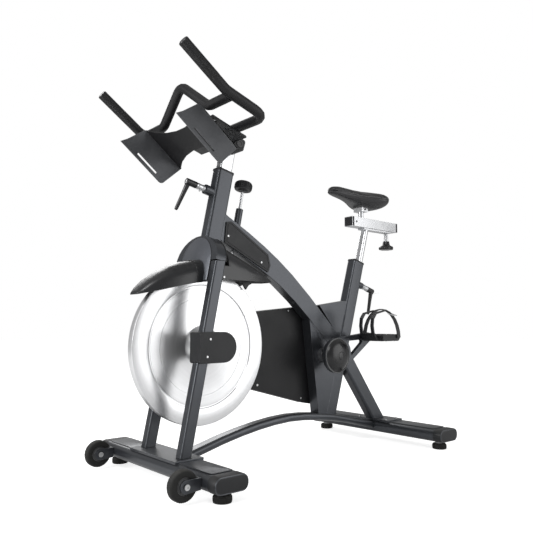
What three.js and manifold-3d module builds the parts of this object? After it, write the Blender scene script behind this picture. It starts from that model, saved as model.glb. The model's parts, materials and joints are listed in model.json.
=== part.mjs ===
// Indoor spin bike. Millimetres, +Z up, -X to the front, -Y on the rider's left.
import * as THREE from 'three';
import { mergeVertices } from 'three/addons/utils/BufferGeometryUtils.js';
import Module from 'manifold-3d';

const wasm = await Module();
wasm.setup();

// ---- driving dimensions ----
const GAP = 0.3; // left between pieces that touch
const WHEELBASE = 914; // front stabilizer to rear stabilizer
const STABILIZER = { width: 600, depth: 98, bottom: 28, height: 40, wall: 3, corner: 18 };
const BASE_PLATE_TOP = 74;
const FOOT = { spread: 261, radius: 24, pad: 18 };
const TRANSPORT_WHEEL = { x: -90, y: 225, z: 46, radius: 38, width: 24, axle: 5 };

// Raked tubes: x0 is where the centre line meets the floor, rake its slope.
const FORK = { x0: -16, rake: 0.2053, depth: 34, width: 28, outer: 105, top: 597, wall: 2.5 };
const HEAD = { x0: 6, rake: 0.2075, depth: 58, width: 38, bottom: 600, top: 886, wall: 3 };
const SEAT = { x0: 605.6, rake: 0.304, depth: 54, width: 38, top: 650, wall: 2.5 };
const FRAME_HALF = 19; // half width of the beam and the tubes behind it

const AXLE = { x: 111, z: 357, radius: 10 };
const FLYWHEEL = { radius: 225, half: 12 };
const CRANK_AXIS = { x: 600, z: 316 };
const CRANK = { length: 170, angle: 20, inner: 73, outer: 87, hub: 57, end: 17 };
const PEDAL = { inner: 95, outer: 188, half: 45, thickness: 22 };
const PULLEY = { front: 34, rear: 130, from: 38, to: 52 };
const GUARD = { front: 80, rear: 168, from: 24, to: 63.5, wall: 3 };

const BARS = { radius: 14.5, half: 228, tip: [-107, 1122], bend: [27, 1030], rear: [160, 990] };
const LOOP = { x: 48, half: 120, apex: [33, 1115] };
const STEM = { depth: 46, width: 28 };
const BRAKE = { x: 97.4, rake: 0.2, knob: 29, knobBase: 834, rod: 4.5, rodEnd: 579.5 };
const CALIPER_PIVOT = [317, 560];
const SADDLE = { nose: 664, tail: 932, half: 86 };
const RAIL = {
  bottom: 780, top: 815, half: 20, front: 765, rear: 1033,
  neck: [890, 945], knob: 985, travel: 40,
};
const SEAT_POST = { depth: 20, width: 28, offset: 14.8 };

const originX = (RAIL.rear + TRANSPORT_WHEEL.x - TRANSPORT_WHEEL.radius) / 2;

// ---- finishes ----
const finish = (color, roughness, metalness) => ({ color, roughness, metalness });
const FRAME_PAINT = finish(0x4a4c50, 0.42, 0.6);
const BLACK_PLASTIC = finish(0x1d1d1f, 0.6, 0);
const RUBBER = finish(0x161617, 0.85, 0);
const SILVER = finish(0xc8cacd, 0.3, 0.9);
const FLYWHEEL_METAL = finish(0xdedfe1, 0.25, 0.95);
const SHEET_GREY = finish(0x5b5c60, 0.5, 0.5);
const STEEL = finish(0x8d9095, 0.35, 0.9);
const GRIP = finish(0x2a2a2c, 0.9, 0);
const PADDING = finish(0x202022, 0.75, 0);

// ---- solids ----
function solid(geometry) {
  const bare = geometry.index ? geometry.toNonIndexed() : geometry.clone();
  bare.deleteAttribute('normal');
  bare.deleteAttribute('uv');
  const merged = mergeVertices(bare, 1e-3);
  const index = merged.index.array;
  const build = (order) => {
    const corners = [];
    for (let i = 0; i < index.length; i += 3) {
      const tri = order.map((k) => index[i + k]);
      if (new Set(tri).size === 3) corners.push(...tri);
    }
    return new wasm.Manifold(
      new wasm.Mesh({
        numProp: 3,
        vertProperties: merged.attributes.position.array,
        triVerts: new Uint32Array(corners),
      })
    );
  };
  const made = build([0, 1, 2]);
  return made.volume() < 0 ? build([0, 2, 1]) : made;
}

const root = new THREE.Group();
const frame = new THREE.Group();
frame.position.x = -originX;
root.add(frame);

function piece(name, shape, { color, roughness, metalness }) {
  const { vertProperties, triVerts } = shape.getMesh();
  const geometry = new THREE.BufferGeometry();
  geometry.setAttribute('position', new THREE.BufferAttribute(vertProperties, 3));
  geometry.setIndex(new THREE.BufferAttribute(triVerts, 1));
  const flat = geometry.toNonIndexed();
  flat.computeVertexNormals();
  const mesh = new THREE.Mesh(flat, new THREE.MeshStandardMaterial({ color, roughness, metalness }));
  mesh.name = name;
  frame.add(mesh);
}

const union = (...parts) => parts.reduce((all, part) => all.add(part));
const cut = (body, ...tools) => tools.reduce((left, tool) => left.subtract(tool), body);
const centreX = (tube, z) => tube.x0 + tube.rake * z;

// A flat outline in the XZ plane, from [x, z] points or a ready shape.
const outline = (points) => new THREE.Shape(points.map(([x, z]) => new THREE.Vector2(x, z)));

// An XZ outline given thickness from y = from to y = to.
function slab(shape, from, to, curveSegments = 6) {
  const flat = Array.isArray(shape) ? outline(shape) : shape;
  const geometry = new THREE.ExtrudeGeometry(flat, {
    depth: to - from,
    bevelEnabled: false,
    curveSegments,
  });
  geometry.rotateX(Math.PI / 2);
  geometry.translate(0, to, 0);
  return solid(geometry);
}

function block([x0, y0, z0], [x1, y1, z1]) {
  const geometry = new THREE.BoxGeometry(x1 - x0, y1 - y0, z1 - z0);
  geometry.translate((x0 + x1) / 2, (y0 + y1) / 2, (z0 + z1) / 2);
  return solid(geometry);
}

// A [radius, height] profile turned about a line through base along dir.
function turned(profile, base, dir, segments = 32) {
  const points = profile.map(([r, h]) => new THREE.Vector2(r, h));
  const geometry = new THREE.LatheGeometry(points, segments);
  const turn = new THREE.Quaternion().setFromUnitVectors(
    new THREE.Vector3(0, 1, 0),
    new THREE.Vector3(...dir).normalize()
  );
  geometry.applyQuaternion(turn);
  geometry.translate(...base);
  return solid(geometry);
}

const rod = (radius, base, dir, from, to, segments = 18) =>
  turned([[0, from], [radius, from], [radius, to], [0, to]], base, dir, segments);

const ring = (inner, outer, base, dir, from, to, segments = 32) =>
  turned(
    [[inner, from], [outer, from], [outer, to], [inner, to], [inner, from]],
    base, dir, segments
  );

function roundedRectangle(width, height, radius) {
  const [w, h] = [width / 2, height / 2];
  const shape = new THREE.Shape();
  shape.moveTo(w, -h + radius);
  shape.absarc(w - radius, h - radius, radius, 0, Math.PI / 2);
  shape.absarc(-w + radius, h - radius, radius, Math.PI / 2, Math.PI);
  shape.absarc(-w + radius, -h + radius, radius, Math.PI, Math.PI * 1.5);
  shape.absarc(w - radius, -h + radius, radius, Math.PI * 1.5, Math.PI * 2);
  return shape;
}

// A rounded rectangular bar in the XZ plane, depth across it and width along Y.
function strut([x0, z0], [x1, z1], depth, width, corner, y = 0) {
  const length = Math.hypot(x1 - x0, z1 - z0);
  const geometry = new THREE.ExtrudeGeometry(roundedRectangle(depth, width, corner), {
    depth: length,
    bevelEnabled: false,
    curveSegments: 2,
  });
  const [s, c] = [(x1 - x0) / length, (z1 - z0) / length];
  const place = new THREE.Matrix4().makeBasis(
    new THREE.Vector3(c, 0, -s),
    new THREE.Vector3(0, 1, 0),
    new THREE.Vector3(s, 0, c)
  );
  geometry.applyMatrix4(place);
  geometry.translate(x0, y, z0);
  return solid(geometry);
}

// The same bar as a tube open at both ends.
function tube(from, to, depth, width, corner, wall, y = 0) {
  const [dx, dz] = [(to[0] - from[0]) / 100, (to[1] - from[1]) / 100];
  const bore = strut(
    [from[0] - dx, from[1] - dz], [to[0] + dx, to[1] + dz],
    depth - 2 * wall, width - 2 * wall, corner - wall, y
  );
  return cut(strut(from, to, depth, width, corner, y), bore);
}

// Straight stretches joined by bends of the given radius at each inner point.
function bentPath(points, radii, steps = 5) {
  const corners = points.map((p) => new THREE.Vector3(...p));
  const path = [corners[0]];
  for (let i = 1; i < corners.length - 1; i++) {
    const back = corners[i - 1].clone().sub(corners[i]).normalize();
    const ahead = corners[i + 1].clone().sub(corners[i]).normalize();
    const reach = radii[i - 1] / Math.tan(back.angleTo(ahead) / 2);
    const bend = new THREE.QuadraticBezierCurve3(
      corners[i].clone().addScaledVector(back, reach),
      corners[i],
      corners[i].clone().addScaledVector(ahead, reach)
    );
    path.push(...bend.getPoints(steps));
  }
  path.push(corners.at(-1));
  return path;
}

// A section carried along a path of points. The section's first axis starts near `across`.
function pipe(path, section, across = [0, 0, 1]) {
  const side = new THREE.Vector3(...across);
  const rings = path.map((point, i) => {
    const tangent = new THREE.Vector3();
    if (i > 0) tangent.add(point.clone().sub(path[i - 1]).normalize());
    if (i + 1 < path.length) tangent.add(path[i + 1].clone().sub(point).normalize());
    tangent.normalize();
    side.addScaledVector(tangent, -side.dot(tangent)).normalize();
    const other = tangent.clone().cross(side);
    return section.map(([a, b]) =>
      point.clone().addScaledVector(side, a).addScaledVector(other, b).toArray());
  });
  return loft(rings);
}

const circle = (radius, count = 12) =>
  Array.from({ length: count }, (_, i) => {
    const a = (2 * Math.PI * i) / count;
    return [radius * Math.cos(a), radius * Math.sin(a)];
  });

// An outline pushed outwards by grow on every side, or inwards where it is negative.
function grown(points, grow) {
  const n = points.length;
  const area = points.reduce((sum, [x, z], i) => {
    const [nx, nz] = points[(i + 1) % n];
    return sum + x * nz - nx * z;
  }, 0);
  const side = Math.sign(area) * grow;
  const edge = ([ax, az], [bx, bz]) => {
    const length = Math.hypot(bx - ax, bz - az);
    const [ux, uz] = [(bx - ax) / length, (bz - az) / length];
    return { x: ax + uz * side, z: az - ux * side, ux, uz };
  };
  return points.map((point, i) => {
    const a = edge(points[(i + n - 1) % n], point);
    const b = edge(point, points[(i + 1) % n]);
    const cross = a.ux * b.uz - a.uz * b.ux;
    if (Math.abs(cross) < 1e-6) return [b.x, b.z];
    const t = ((b.x - a.x) * b.uz - (b.z - a.z) * b.ux) / cross;
    return [a.x + a.ux * t, a.z + a.uz * t];
  });
}

const smooth = (points, count) =>
  new THREE.SplineCurve(points.map(([x, z]) => new THREE.Vector2(x, z)))
    .getPoints(count)
    .map(({ x, y }) => [x, y]);

// The loop of a taut belt round the two pulleys' centres.
function beltLoop(frontRadius, rearRadius) {
  const [dx, dz] = [CRANK_AXIS.x - AXLE.x, CRANK_AXIS.z - AXLE.z];
  const along = Math.atan2(dz, dx);
  const lean = Math.acos((frontRadius - rearRadius) / Math.hypot(dx, dz));
  const shape = new THREE.Shape();
  shape.absarc(AXLE.x, AXLE.z, frontRadius, along + lean, along + 2 * Math.PI - lean);
  shape.absarc(CRANK_AXIS.x, CRANK_AXIS.z, rearRadius, along - lean, along + lean);
  return shape;
}

// Rings of points joined into one skin, with the two ends closed.
function loft(rings) {
  const n = rings[0].length;
  const positions = [];
  const triangle = (...corners) => corners.forEach((corner) => positions.push(...corner));
  for (let i = 0; i + 1 < rings.length; i++) {
    for (let j = 0; j < n; j++) {
      const k = (j + 1) % n;
      triangle(rings[i][j], rings[i][k], rings[i + 1][j]);
      triangle(rings[i][k], rings[i + 1][k], rings[i + 1][j]);
    }
  }
  const last = rings.at(-1);
  for (let j = 1; j + 1 < n; j++) {
    triangle(rings[0][0], rings[0][j + 1], rings[0][j]);
    triangle(last[0], last[j], last[j + 1]);
  }
  const geometry = new THREE.BufferGeometry();
  geometry.setAttribute('position', new THREE.Float32BufferAttribute(positions, 3));
  return solid(geometry);
}

const Y_AXIS = [0, 1, 0];
const Z_AXIS = [0, 0, 1];

// ---- base ----
const stabilizerTop = STABILIZER.bottom + STABILIZER.height;
const stabilizerMid = STABILIZER.bottom + STABILIZER.height / 2;

// A flattened tube across the machine.
function crossTube(x, half, grow = 0) {
  const { depth, height, corner } = STABILIZER;
  const section = roundedRectangle(depth + 2 * grow, height + 2 * grow, corner + grow);
  const geometry = new THREE.ExtrudeGeometry(section, {
    depth: 2 * half,
    bevelEnabled: false,
    curveSegments: 5,
  });
  geometry.rotateX(Math.PI / 2);
  geometry.translate(x, half, stabilizerMid);
  return solid(geometry);
}

function makeBase() {
  const half = STABILIZER.width / 2;
  const ends = [
    { name: 'front', x: 0, plate: 120 },
    { name: 'rear', x: WHEELBASE, plate: 78 },
  ];
  for (const { name, x, plate } of ends) {
    const shell = cut(crossTube(x, half), crossTube(x, half + 1, -STABILIZER.wall));
    const top = block(
      [x - 44, -plate, stabilizerTop - 1.5],
      [x + 44, plate, BASE_PLATE_TOP]
    );
    piece(`${name}_stabilizer`, union(shell, top), FRAME_PAINT);
    for (const [side, y] of [['left', -FOOT.spread], ['right', FOOT.spread]]) {
      const { radius, pad } = FOOT;
      const neck = STABILIZER.bottom - GAP;
      const foot = turned(
        [[0, 0], [radius - 2, 0], [radius, 2], [radius, pad - 3], [radius - 4, pad],
          [12, pad], [12, neck], [0, neck]],
        [x, y, 0], Z_AXIS, 18
      );
      piece(`${name}_${side}_foot`, foot, RUBBER);
    }
  }
}

function makeTransportWheels() {
  const { x, y, z, radius, width, axle } = TRANSPORT_WHEEL;
  const face = -STABILIZER.depth / 2 - GAP;
  const ear = { thick: 5, radius: 16, reach: width / 2 + 1.5 };
  for (const [side, sign] of [['left', -1], ['right', 1]]) {
    const centre = [x, sign * y, z];
    const half = width / 2;
    const wheel = turned(
      [[axle + GAP, -half], [radius - 5, -half], [radius, -half + 5],
        [radius, half - 5], [radius - 5, half], [axle + GAP, half],
        [axle + GAP, -half]],
      centre, Y_AXIS, 24
    );
    piece(`${side}_transport_wheel`, wheel, RUBBER);
    const cheek = new THREE.Shape();
    cheek.moveTo(face, z - 13);
    cheek.lineTo(face, z + 15);
    cheek.lineTo(x, z + ear.radius);
    cheek.absarc(x, z, ear.radius, Math.PI / 2, Math.PI * 1.5);
    const inner = slab(cheek, sign * y - ear.reach - ear.thick, sign * y - ear.reach);
    const outer = slab(cheek, sign * y + ear.reach, sign * y + ear.reach + ear.thick);
    const back = block(
      [face - 6, sign * y - ear.reach - 1, z - 13],
      [face, sign * y + ear.reach + 1, z + 15]
    );
    const room = rod(radius + 1.5, centre, Y_AXIS, -ear.reach, ear.reach, 24);
    const pin = rod(axle, centre, Y_AXIS, -ear.reach - ear.thick - 2, ear.reach + ear.thick + 2, 16);
    const bracket = union(cut(union(inner, outer, back), room), pin);
    piece(`${side}_wheel_bracket`, bracket, FRAME_PAINT);
  }
}

// The arched tube between the stabilizers.
const LOWER_TUBE = [[30, 44], [184, 83], [320, 108], [450, 119], [580, 111], [720, 88], [890, 47]];
function lowerTube(grow = 0) {
  const path = smooth(LOWER_TUBE, 12).map(([x, z]) => new THREE.Vector3(x, 0, z));
  const section = roundedRectangle(44 + 2 * grow, 24 + 2 * grow, 10 + grow)
    .getPoints(2)
    .map(({ x, y }) => [x, y]);
  section.pop();
  return pipe(path, section, Y_AXIS);
}

// ---- frame tubes ----
const raked = ({ x0, rake, depth, width }, bottom, top, grow, corner, y = 0) =>
  strut(
    [x0 + rake * bottom, bottom], [x0 + rake * top, top],
    depth + 2 * grow, width + 2 * grow, corner + grow, y
  );
const headPostSolid = (grow = 0) => raked(HEAD, HEAD.bottom, HEAD.top, grow, 9);
const seatTubeSolid = (grow = 0) => raked(SEAT, 60, SEAT.top, grow, 8);
const legSolid = (sign, grow = 0) =>
  raked(FORK, 40, FORK.top + 40, grow, 5, sign * (FORK.outer - FORK.width / 2));

const BEAM = [
  ...smooth([[150, 768], [320, 678], [485, 562], [705, 362]], 8),
  ...smooth([[690, 296], [540, 437], [400, 548], [260, 624], [140, 683]], 8),
];
const BRAKE_SLEEVE = [721.5, 792]; // heights where the sleeve for the brake rod starts and ends

function makeFrameTubes() {
  const half = FRAME_HALF;
  const below = block([-200, -200, -50], [1100, 200, BASE_PLATE_TOP + GAP]);
  const aboveLeg = block([-200, -200, FORK.top], [400, 200, 900]);
  const legBoreFrom = [centreX(FORK, 30), 30];
  const legBoreTo = [centreX(FORK, 700), 700];
  for (const [side, sign] of [['left', -1], ['right', 1]]) {
    const bore = strut(
      legBoreFrom, legBoreTo, FORK.depth - 2 * FORK.wall, FORK.width - 2 * FORK.wall, 2.5,
      sign * (FORK.outer - FORK.width / 2)
    );
    piece(`${side}_fork_leg`, cut(legSolid(sign), bore, below, aboveLeg), FRAME_PAINT);
  }
  makeForkCrown();

  const headBore = strut(
    [centreX(HEAD, 560), 560], [centreX(HEAD, 920), 920],
    HEAD.depth - 2 * HEAD.wall, HEAD.width - 2 * HEAD.wall, 6
  );
  const clampBoss = rod(15, clampPoint(HEAD, 810, -1), clampAxis(HEAD, -1), -1, LEVER_BOSS, 18);
  piece('head_post', cut(union(headPostSolid(), clampBoss), headBore), FRAME_PAINT);

  const hollow = slab(grown(BEAM, -3), -half + 3, half - 3);
  const rodAxis = [BRAKE.x, 0, 0];
  const rodDir = [BRAKE.rake, 0, 1];
  const sleeve = rod(11.5, rodAxis, rodDir, ...BRAKE_SLEEVE, 18);
  const rodBore = rod(BRAKE.rod + 0.8, rodAxis, rodDir, 500, 900, 14);
  const beam = cut(
    union(
      cut(slab(BEAM, -half, half), hollow),
      cut(sleeve, slab(grown(BEAM, -2), -half, half))
    ),
    rodBore, headPostSolid(GAP), seatTubeSolid(GAP)
  );
  piece('main_beam', beam, FRAME_PAINT);

  const seatBore = strut(
    [centreX(SEAT, 40), 40], [centreX(SEAT, 700), 700],
    SEAT.depth - 2 * SEAT.wall, SEAT.width - 2 * SEAT.wall, 5
  );
  const seatBoss = rod(12, clampPoint(SEAT, 576, 1), clampAxis(SEAT, 1), -1, LEVER_BOSS, 18);
  const belowTube = block([500, -50, -50], [900, 50, 100]);
  const seatTube = cut(union(seatTubeSolid(), seatBoss), seatBore, lowerTube(GAP), belowTube);
  piece('seat_tube', seatTube, FRAME_PAINT);

  const gusset = slab([[592, 484], [735, 504], [700, 360]], -half + 4, half - 4);
  piece(
    'seat_gusset',
    cut(gusset, seatTubeSolid(GAP), slab(grown(BEAM, GAP), -half - 1, half + 1)),
    FRAME_PAINT
  );

  // The box round the crank bearings, open towards the beam and the seat tube.
  const box = [[536, 460], [581, 104], [640, 104], [705, 330], [640, 400]];
  const housing = cut(
    slab(box, -half, half),
    slab(grown(box, -3), -half + 3, half - 3),
    seatTubeSolid(GAP),
    slab(grown(BEAM, GAP), -half - 1, half + 1),
    lowerTube(GAP),
    block([500, -50, 0], [700, 50, 105]),
    rod(24 + GAP, [CRANK_AXIS.x, 0, CRANK_AXIS.z], Y_AXIS, -60, 60, 24)
  );
  piece('bracket_housing', largest(housing), FRAME_PAINT);

  const legFrom = [690, 349];
  const legTo = [935, 25];
  const rearLeg = cut(
    tube(legFrom, legTo, 54, 2 * half, 8, 3),
    seatTubeSolid(GAP), below
  );
  piece('rear_leg', largest(rearLeg), FRAME_PAINT);
  piece(
    'lower_tube',
    cut(lowerTube(), lowerTube(-2.5), crossTube(0, 100, GAP), crossTube(WHEELBASE, 100, GAP)),
    FRAME_PAINT
  );
}

const largest = (shape) =>
  shape.decompose().reduce((best, body) => (body.volume() > best.volume() ? body : best));

// A point on the front or rear face of a raked tube, and the face's normal.
function clampPoint(tubeSize, z, sign) {
  const along = Math.hypot(1, tubeSize.rake);
  const reach = (sign * tubeSize.depth) / 2;
  return [
    centreX(tubeSize, z) + reach / along,
    0,
    z - (reach * tubeSize.rake) / along,
  ];
}
const clampAxis = (tubeSize, sign) => [sign, 0, -sign * tubeSize.rake];

// Stands a shape across the fork: local x across the machine, local y up the rake from
// the legs' tops, and from and to measured forward from the legs' centre plane.
function acrossFork(shape, from, to) {
  const geometry = new THREE.ExtrudeGeometry(shape, {
    depth: to - from,
    bevelEnabled: false,
    curveSegments: 8,
  });
  geometry.translate(0, 0, from);
  geometry.rotateX(Math.PI / 2);
  geometry.rotateZ(-Math.PI / 2);
  geometry.rotateY(Math.atan(FORK.rake));
  geometry.translate(centreX(FORK, FORK.top), 0, FORK.top);
  return solid(geometry);
}
const panel = (half, low, high) => outline([[-half, low], [half, low], [half, high], [-half, high]]);

// The arch that joins the fork legs: a curved band with a plate closing its front. The
// plate runs down between the legs, slotted for the flywheel.
const CROWN = { rise: 78, band: 26, plate: 8, drop: 62, slot: 17 };
function makeForkCrown() {
  const arch = (half, base, top) => {
    const shape = new THREE.Shape();
    shape.moveTo(half, base);
    shape.absellipse(0, base, half, top - base, 0, Math.PI);
    shape.lineTo(half, base);
    return shape;
  };
  const { rise, band, plate, drop, slot } = CROWN;
  const front = FORK.depth / 2;
  const legInside = FORK.outer - FORK.width;
  const up = Math.hypot(1, FORK.rake);
  const outer = acrossFork(arch(FORK.outer, 0, rise * up), -front, front);
  const inner = acrossFork(arch(legInside, -1, (rise - band) * up), -front - 1, front - plate);
  const belowTop = block([-200, -200, 300], [400, 200, FORK.top + GAP]);
  const apron = cut(
    acrossFork(panel(legInside - GAP, -drop, 6), front - plate, front),
    acrossFork(panel(slot, -drop - 1, -8), front - plate - 1, front + 1)
  );
  const crown = cut(union(cut(outer, inner, belowTop), apron), headPostSolid(GAP));
  piece('fork_crown', largest(crown), FRAME_PAINT);
}

function makeBeamCovers() {
  const cover = [[186, 727], [205, 730], [352, 640], [362, 606], [352, 583], [180, 664]];
  const recess = headPostSolid(GAP);
  for (const [side, sign] of [['left', -1], ['right', 1]]) {
    const [near, far] = [FRAME_HALF + GAP, FRAME_HALF + 4];
    const plate = slab(cover, sign < 0 ? -far : near, sign < 0 ? -near : far);
    piece(`beam_cover_${side}`, cut(plate, recess), BLACK_PLASTIC);
  }
}

// ---- flywheel ----
function makeFlywheel() {
  const { radius, half } = FLYWHEEL;
  const centre = [AXLE.x, 0, AXLE.z];
  const faceSteps = (sign) => [
    [46, sign * (half + 8)], [60, sign * (half - 3)], [174, sign * (half - 3)],
    [178, sign * half], [radius - 2, sign * half], [radius, sign * (half - 2)],
  ];
  const profile = [
    [AXLE.radius + GAP, -half - 8], ...faceSteps(-1), ...faceSteps(1).reverse(),
    [AXLE.radius + GAP, half + 8], [AXLE.radius + GAP, -half - 8],
  ];
  piece('flywheel', turned(profile, centre, Y_AXIS, 48), FLYWHEEL_METAL);
  piece('flywheel_axle', rod(AXLE.radius, centre, Y_AXIS, -112, 112, 24), STEEL);
  piece(
    'flywheel_pulley',
    ring(AXLE.radius + GAP, PULLEY.front, centre, Y_AXIS, PULLEY.from - 2, PULLEY.to + 2, 28),
    STEEL
  );
  const sideView = new THREE.Shape();
  const size = 42;
  sideView.moveTo(31, AXLE.z - size + 6);
  sideView.lineTo(31, AXLE.z + size - 6);
  sideView.quadraticCurveTo(31, AXLE.z + size, 37, AXLE.z + size);
  sideView.lineTo(AXLE.x, AXLE.z + size);
  sideView.absarc(AXLE.x, AXLE.z, size, Math.PI / 2, -Math.PI / 2, true);
  sideView.lineTo(37, AXLE.z - size);
  sideView.quadraticCurveTo(31, AXLE.z - size, 31, AXLE.z - size + 6);
  const [inner, outer] = [66, 118];
  for (const [side, sign] of [['left', -1], ['right', 1]]) {
    const [from, to] = sign < 0 ? [-outer, -inner] : [inner, outer];
    const span = (a, b) => (sign < 0 ? [-b, -a] : [a, b]);
    const seat = rod(20 + GAP, centre, Y_AXIS, ...span(64, 78), 20);
    const bore = rod(AXLE.radius + GAP, centre, Y_AXIS, ...span(60, 114), 16);
    const body = cut(slab(sideView, from, to, 7), legSolid(sign, GAP), seat, bore);
    piece(`${side}_axle_block`, body, BLACK_PLASTIC);
    const bearing = ring(AXLE.radius + GAP, 20, centre, Y_AXIS, ...span(67, 77), 20);
    piece(`${side}_axle_bearing`, bearing, STEEL);
  }
}

function makeFenders() {
  // A rounded hood, open underneath and at the end that meets the frame.
  const hood = (stations, tip) => {
    const wall = 3;
    const skin = (list) =>
      loft(list.map(({ x, low, high, half }) =>
        Array.from({ length: 13 }, (_, i) => {
          const a = (Math.PI * i) / 12;
          const spread = Math.sign(Math.cos(a)) * Math.abs(Math.cos(a)) ** 0.7;
          return [x, half * spread, low + (high - low) * Math.sin(a) ** 0.7];
        })));
    const inside = stations.map(({ x, low, high, half }, i) => {
      const shift = i === tip ? wall : i === stations.length - 1 - tip ? 1 : 0;
      return {
        x: x + (tip ? -shift : shift), low: low - 1, high: high - wall, half: half - wall,
      };
    });
    return cut(skin(stations), skin(inside));
  };
  const front = hood([
    { x: -106, low: 499, high: 508, half: 20 },
    { x: -94, low: 502, high: 522, half: 31 },
    { x: -72, low: 507, high: 543, half: 41 },
    { x: -44, low: 513, high: 562, half: 48 },
    { x: -10, low: 521, high: 581, half: 53 },
    { x: 24, low: 529, high: 594, half: 57 },
    { x: 62, low: 536, high: 602, half: 58 },
    { x: 96, low: 541, high: 608, half: 58 },
  ], 0);
  const behindApron = acrossFork(panel(90, -120, 80), -60, FORK.depth / 2 + GAP);
  piece('front_fender', cut(front, behindApron), BLACK_PLASTIC);
  const rear = cut(
    hood([
      { x: 142, low: 549, high: 652, half: 58 },
      { x: 190, low: 549, high: 642, half: 57 },
      { x: 240, low: 549, high: 619, half: 54 },
      { x: 295, low: 550, high: 594, half: 48 },
      { x: 340, low: 550, high: 572, half: 38 },
      { x: 364, low: 550, high: 559, half: 24 },
    ], 5),
    rod(BRAKE.rod + 4, [BRAKE.x, 0, 0], [BRAKE.rake, 0, 1], 600, 720, 20),
    block([100, -100, 590], [172, 100, 700])
  );
  piece('rear_fender', largest(rear), BLACK_PLASTIC);
}

// ---- drive ----
function makeDrive() {
  const { from, to, wall } = GUARD;
  const spindleAt = [CRANK_AXIS.x, 0, CRANK_AXIS.z];
  const axleHole = rod(13, [AXLE.x, 0, AXLE.z], Y_AXIS, 10, 90, 20);
  const inner = cut(
    slab(beltLoop(GUARD.front, GUARD.rear), from, from + wall, 10),
    axleHole, rod(26, spindleAt, Y_AXIS, 10, 40, 24)
  );
  piece('belt_guard_inner', inner, BLACK_PLASTIC);
  const shell = cut(
    slab(beltLoop(GUARD.front, GUARD.rear), from + wall + GAP, to, 10),
    slab(beltLoop(GUARD.front - wall, GUARD.rear - wall), from, to - wall, 10),
    axleHole, rod(14, spindleAt, Y_AXIS, 40, 80, 20)
  );
  piece('belt_guard_outer', shell, BLACK_PLASTIC);
  const belt = cut(
    slab(beltLoop(PULLEY.front + 5, PULLEY.rear + 5), PULLEY.from, PULLEY.to, 9),
    slab(beltLoop(PULLEY.front + 1.2, PULLEY.rear + 1.2), PULLEY.from - 1, PULLEY.to + 1, 9)
  );
  piece('drive_belt', belt, RUBBER);
  const pulley = ring(11 + GAP, PULLEY.rear, spindleAt, Y_AXIS, PULLEY.from, PULLEY.to, 36);
  piece('drive_pulley', pulley, STEEL);
  piece('bottom_bracket_shell', ring(17, 24, spindleAt, Y_AXIS, -34, 34, 24), STEEL);
  piece('crank_spindle', rod(11, spindleAt, Y_AXIS, -CRANK.outer, CRANK.outer, 24), STEEL);
}

// The forked arm: its two edges run from the hub's rim to the pedal end.
function crankOutline(hub, end, start = 0) {
  const lean = Math.acos((hub - end) / CRANK.length);
  const shape = new THREE.Shape();
  shape.absarc(0, 0, hub, lean, 2 * Math.PI - lean);
  shape.absarc(CRANK.length, 0, end, -lean, lean);
  return shape;
}

function makeCranks() {
  const { length, inner, outer, hub, end } = CRANK;
  const window = outline([[66, 26], [132, 5.5], [136, 0], [132, -5.5], [66, -26], [70, 0]]);
  for (const [side, sign, turn] of [['left', -1, CRANK.angle], ['right', 1, CRANK.angle + 180]]) {
    const angle = (turn * Math.PI) / 180;
    const place = (shape, from, to) =>
      slab(shape, from, to, 9)
        .rotate([0, -turn, 0])
        .translate([CRANK_AXIS.x, 0, CRANK_AXIS.z]);
    const [from, to] = sign < 0 ? [-outer, -inner] : [inner, outer];
    const pedalAt = [
      CRANK_AXIS.x + length * Math.cos(angle), 0, CRANK_AXIS.z + length * Math.sin(angle),
    ];
    const spindleHole = rod(11 + GAP, [CRANK_AXIS.x, 0, CRANK_AXIS.z], Y_AXIS, -120, 120, 16);
    const pin = rod(7, pedalAt, Y_AXIS, sign < 0 ? -PEDAL.outer + 8 : inner + 2,
      sign < 0 ? -inner - 2 : PEDAL.outer - 8, 20);
    const arm = union(
      cut(place(crankOutline(hub, end), from, to), place(window, from - 1, to + 1), spindleHole),
      pin
    );
    piece(`${side}_crank`, arm, FRAME_PAINT);

    const dome = turned(
      [[0, 0], [hub + 1, 0], [hub + 1, 3], [hub - 3, 8], [hub - 14, 13],
        [hub - 30, 17], [0, 19]],
      [CRANK_AXIS.x, sign * (outer + GAP), CRANK_AXIS.z], [0, sign, 0], 24
    );
    piece(`${side}_crank_cap`, dome, BLACK_PLASTIC);
    makePedal(side, sign, pedalAt);
  }
}

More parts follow.
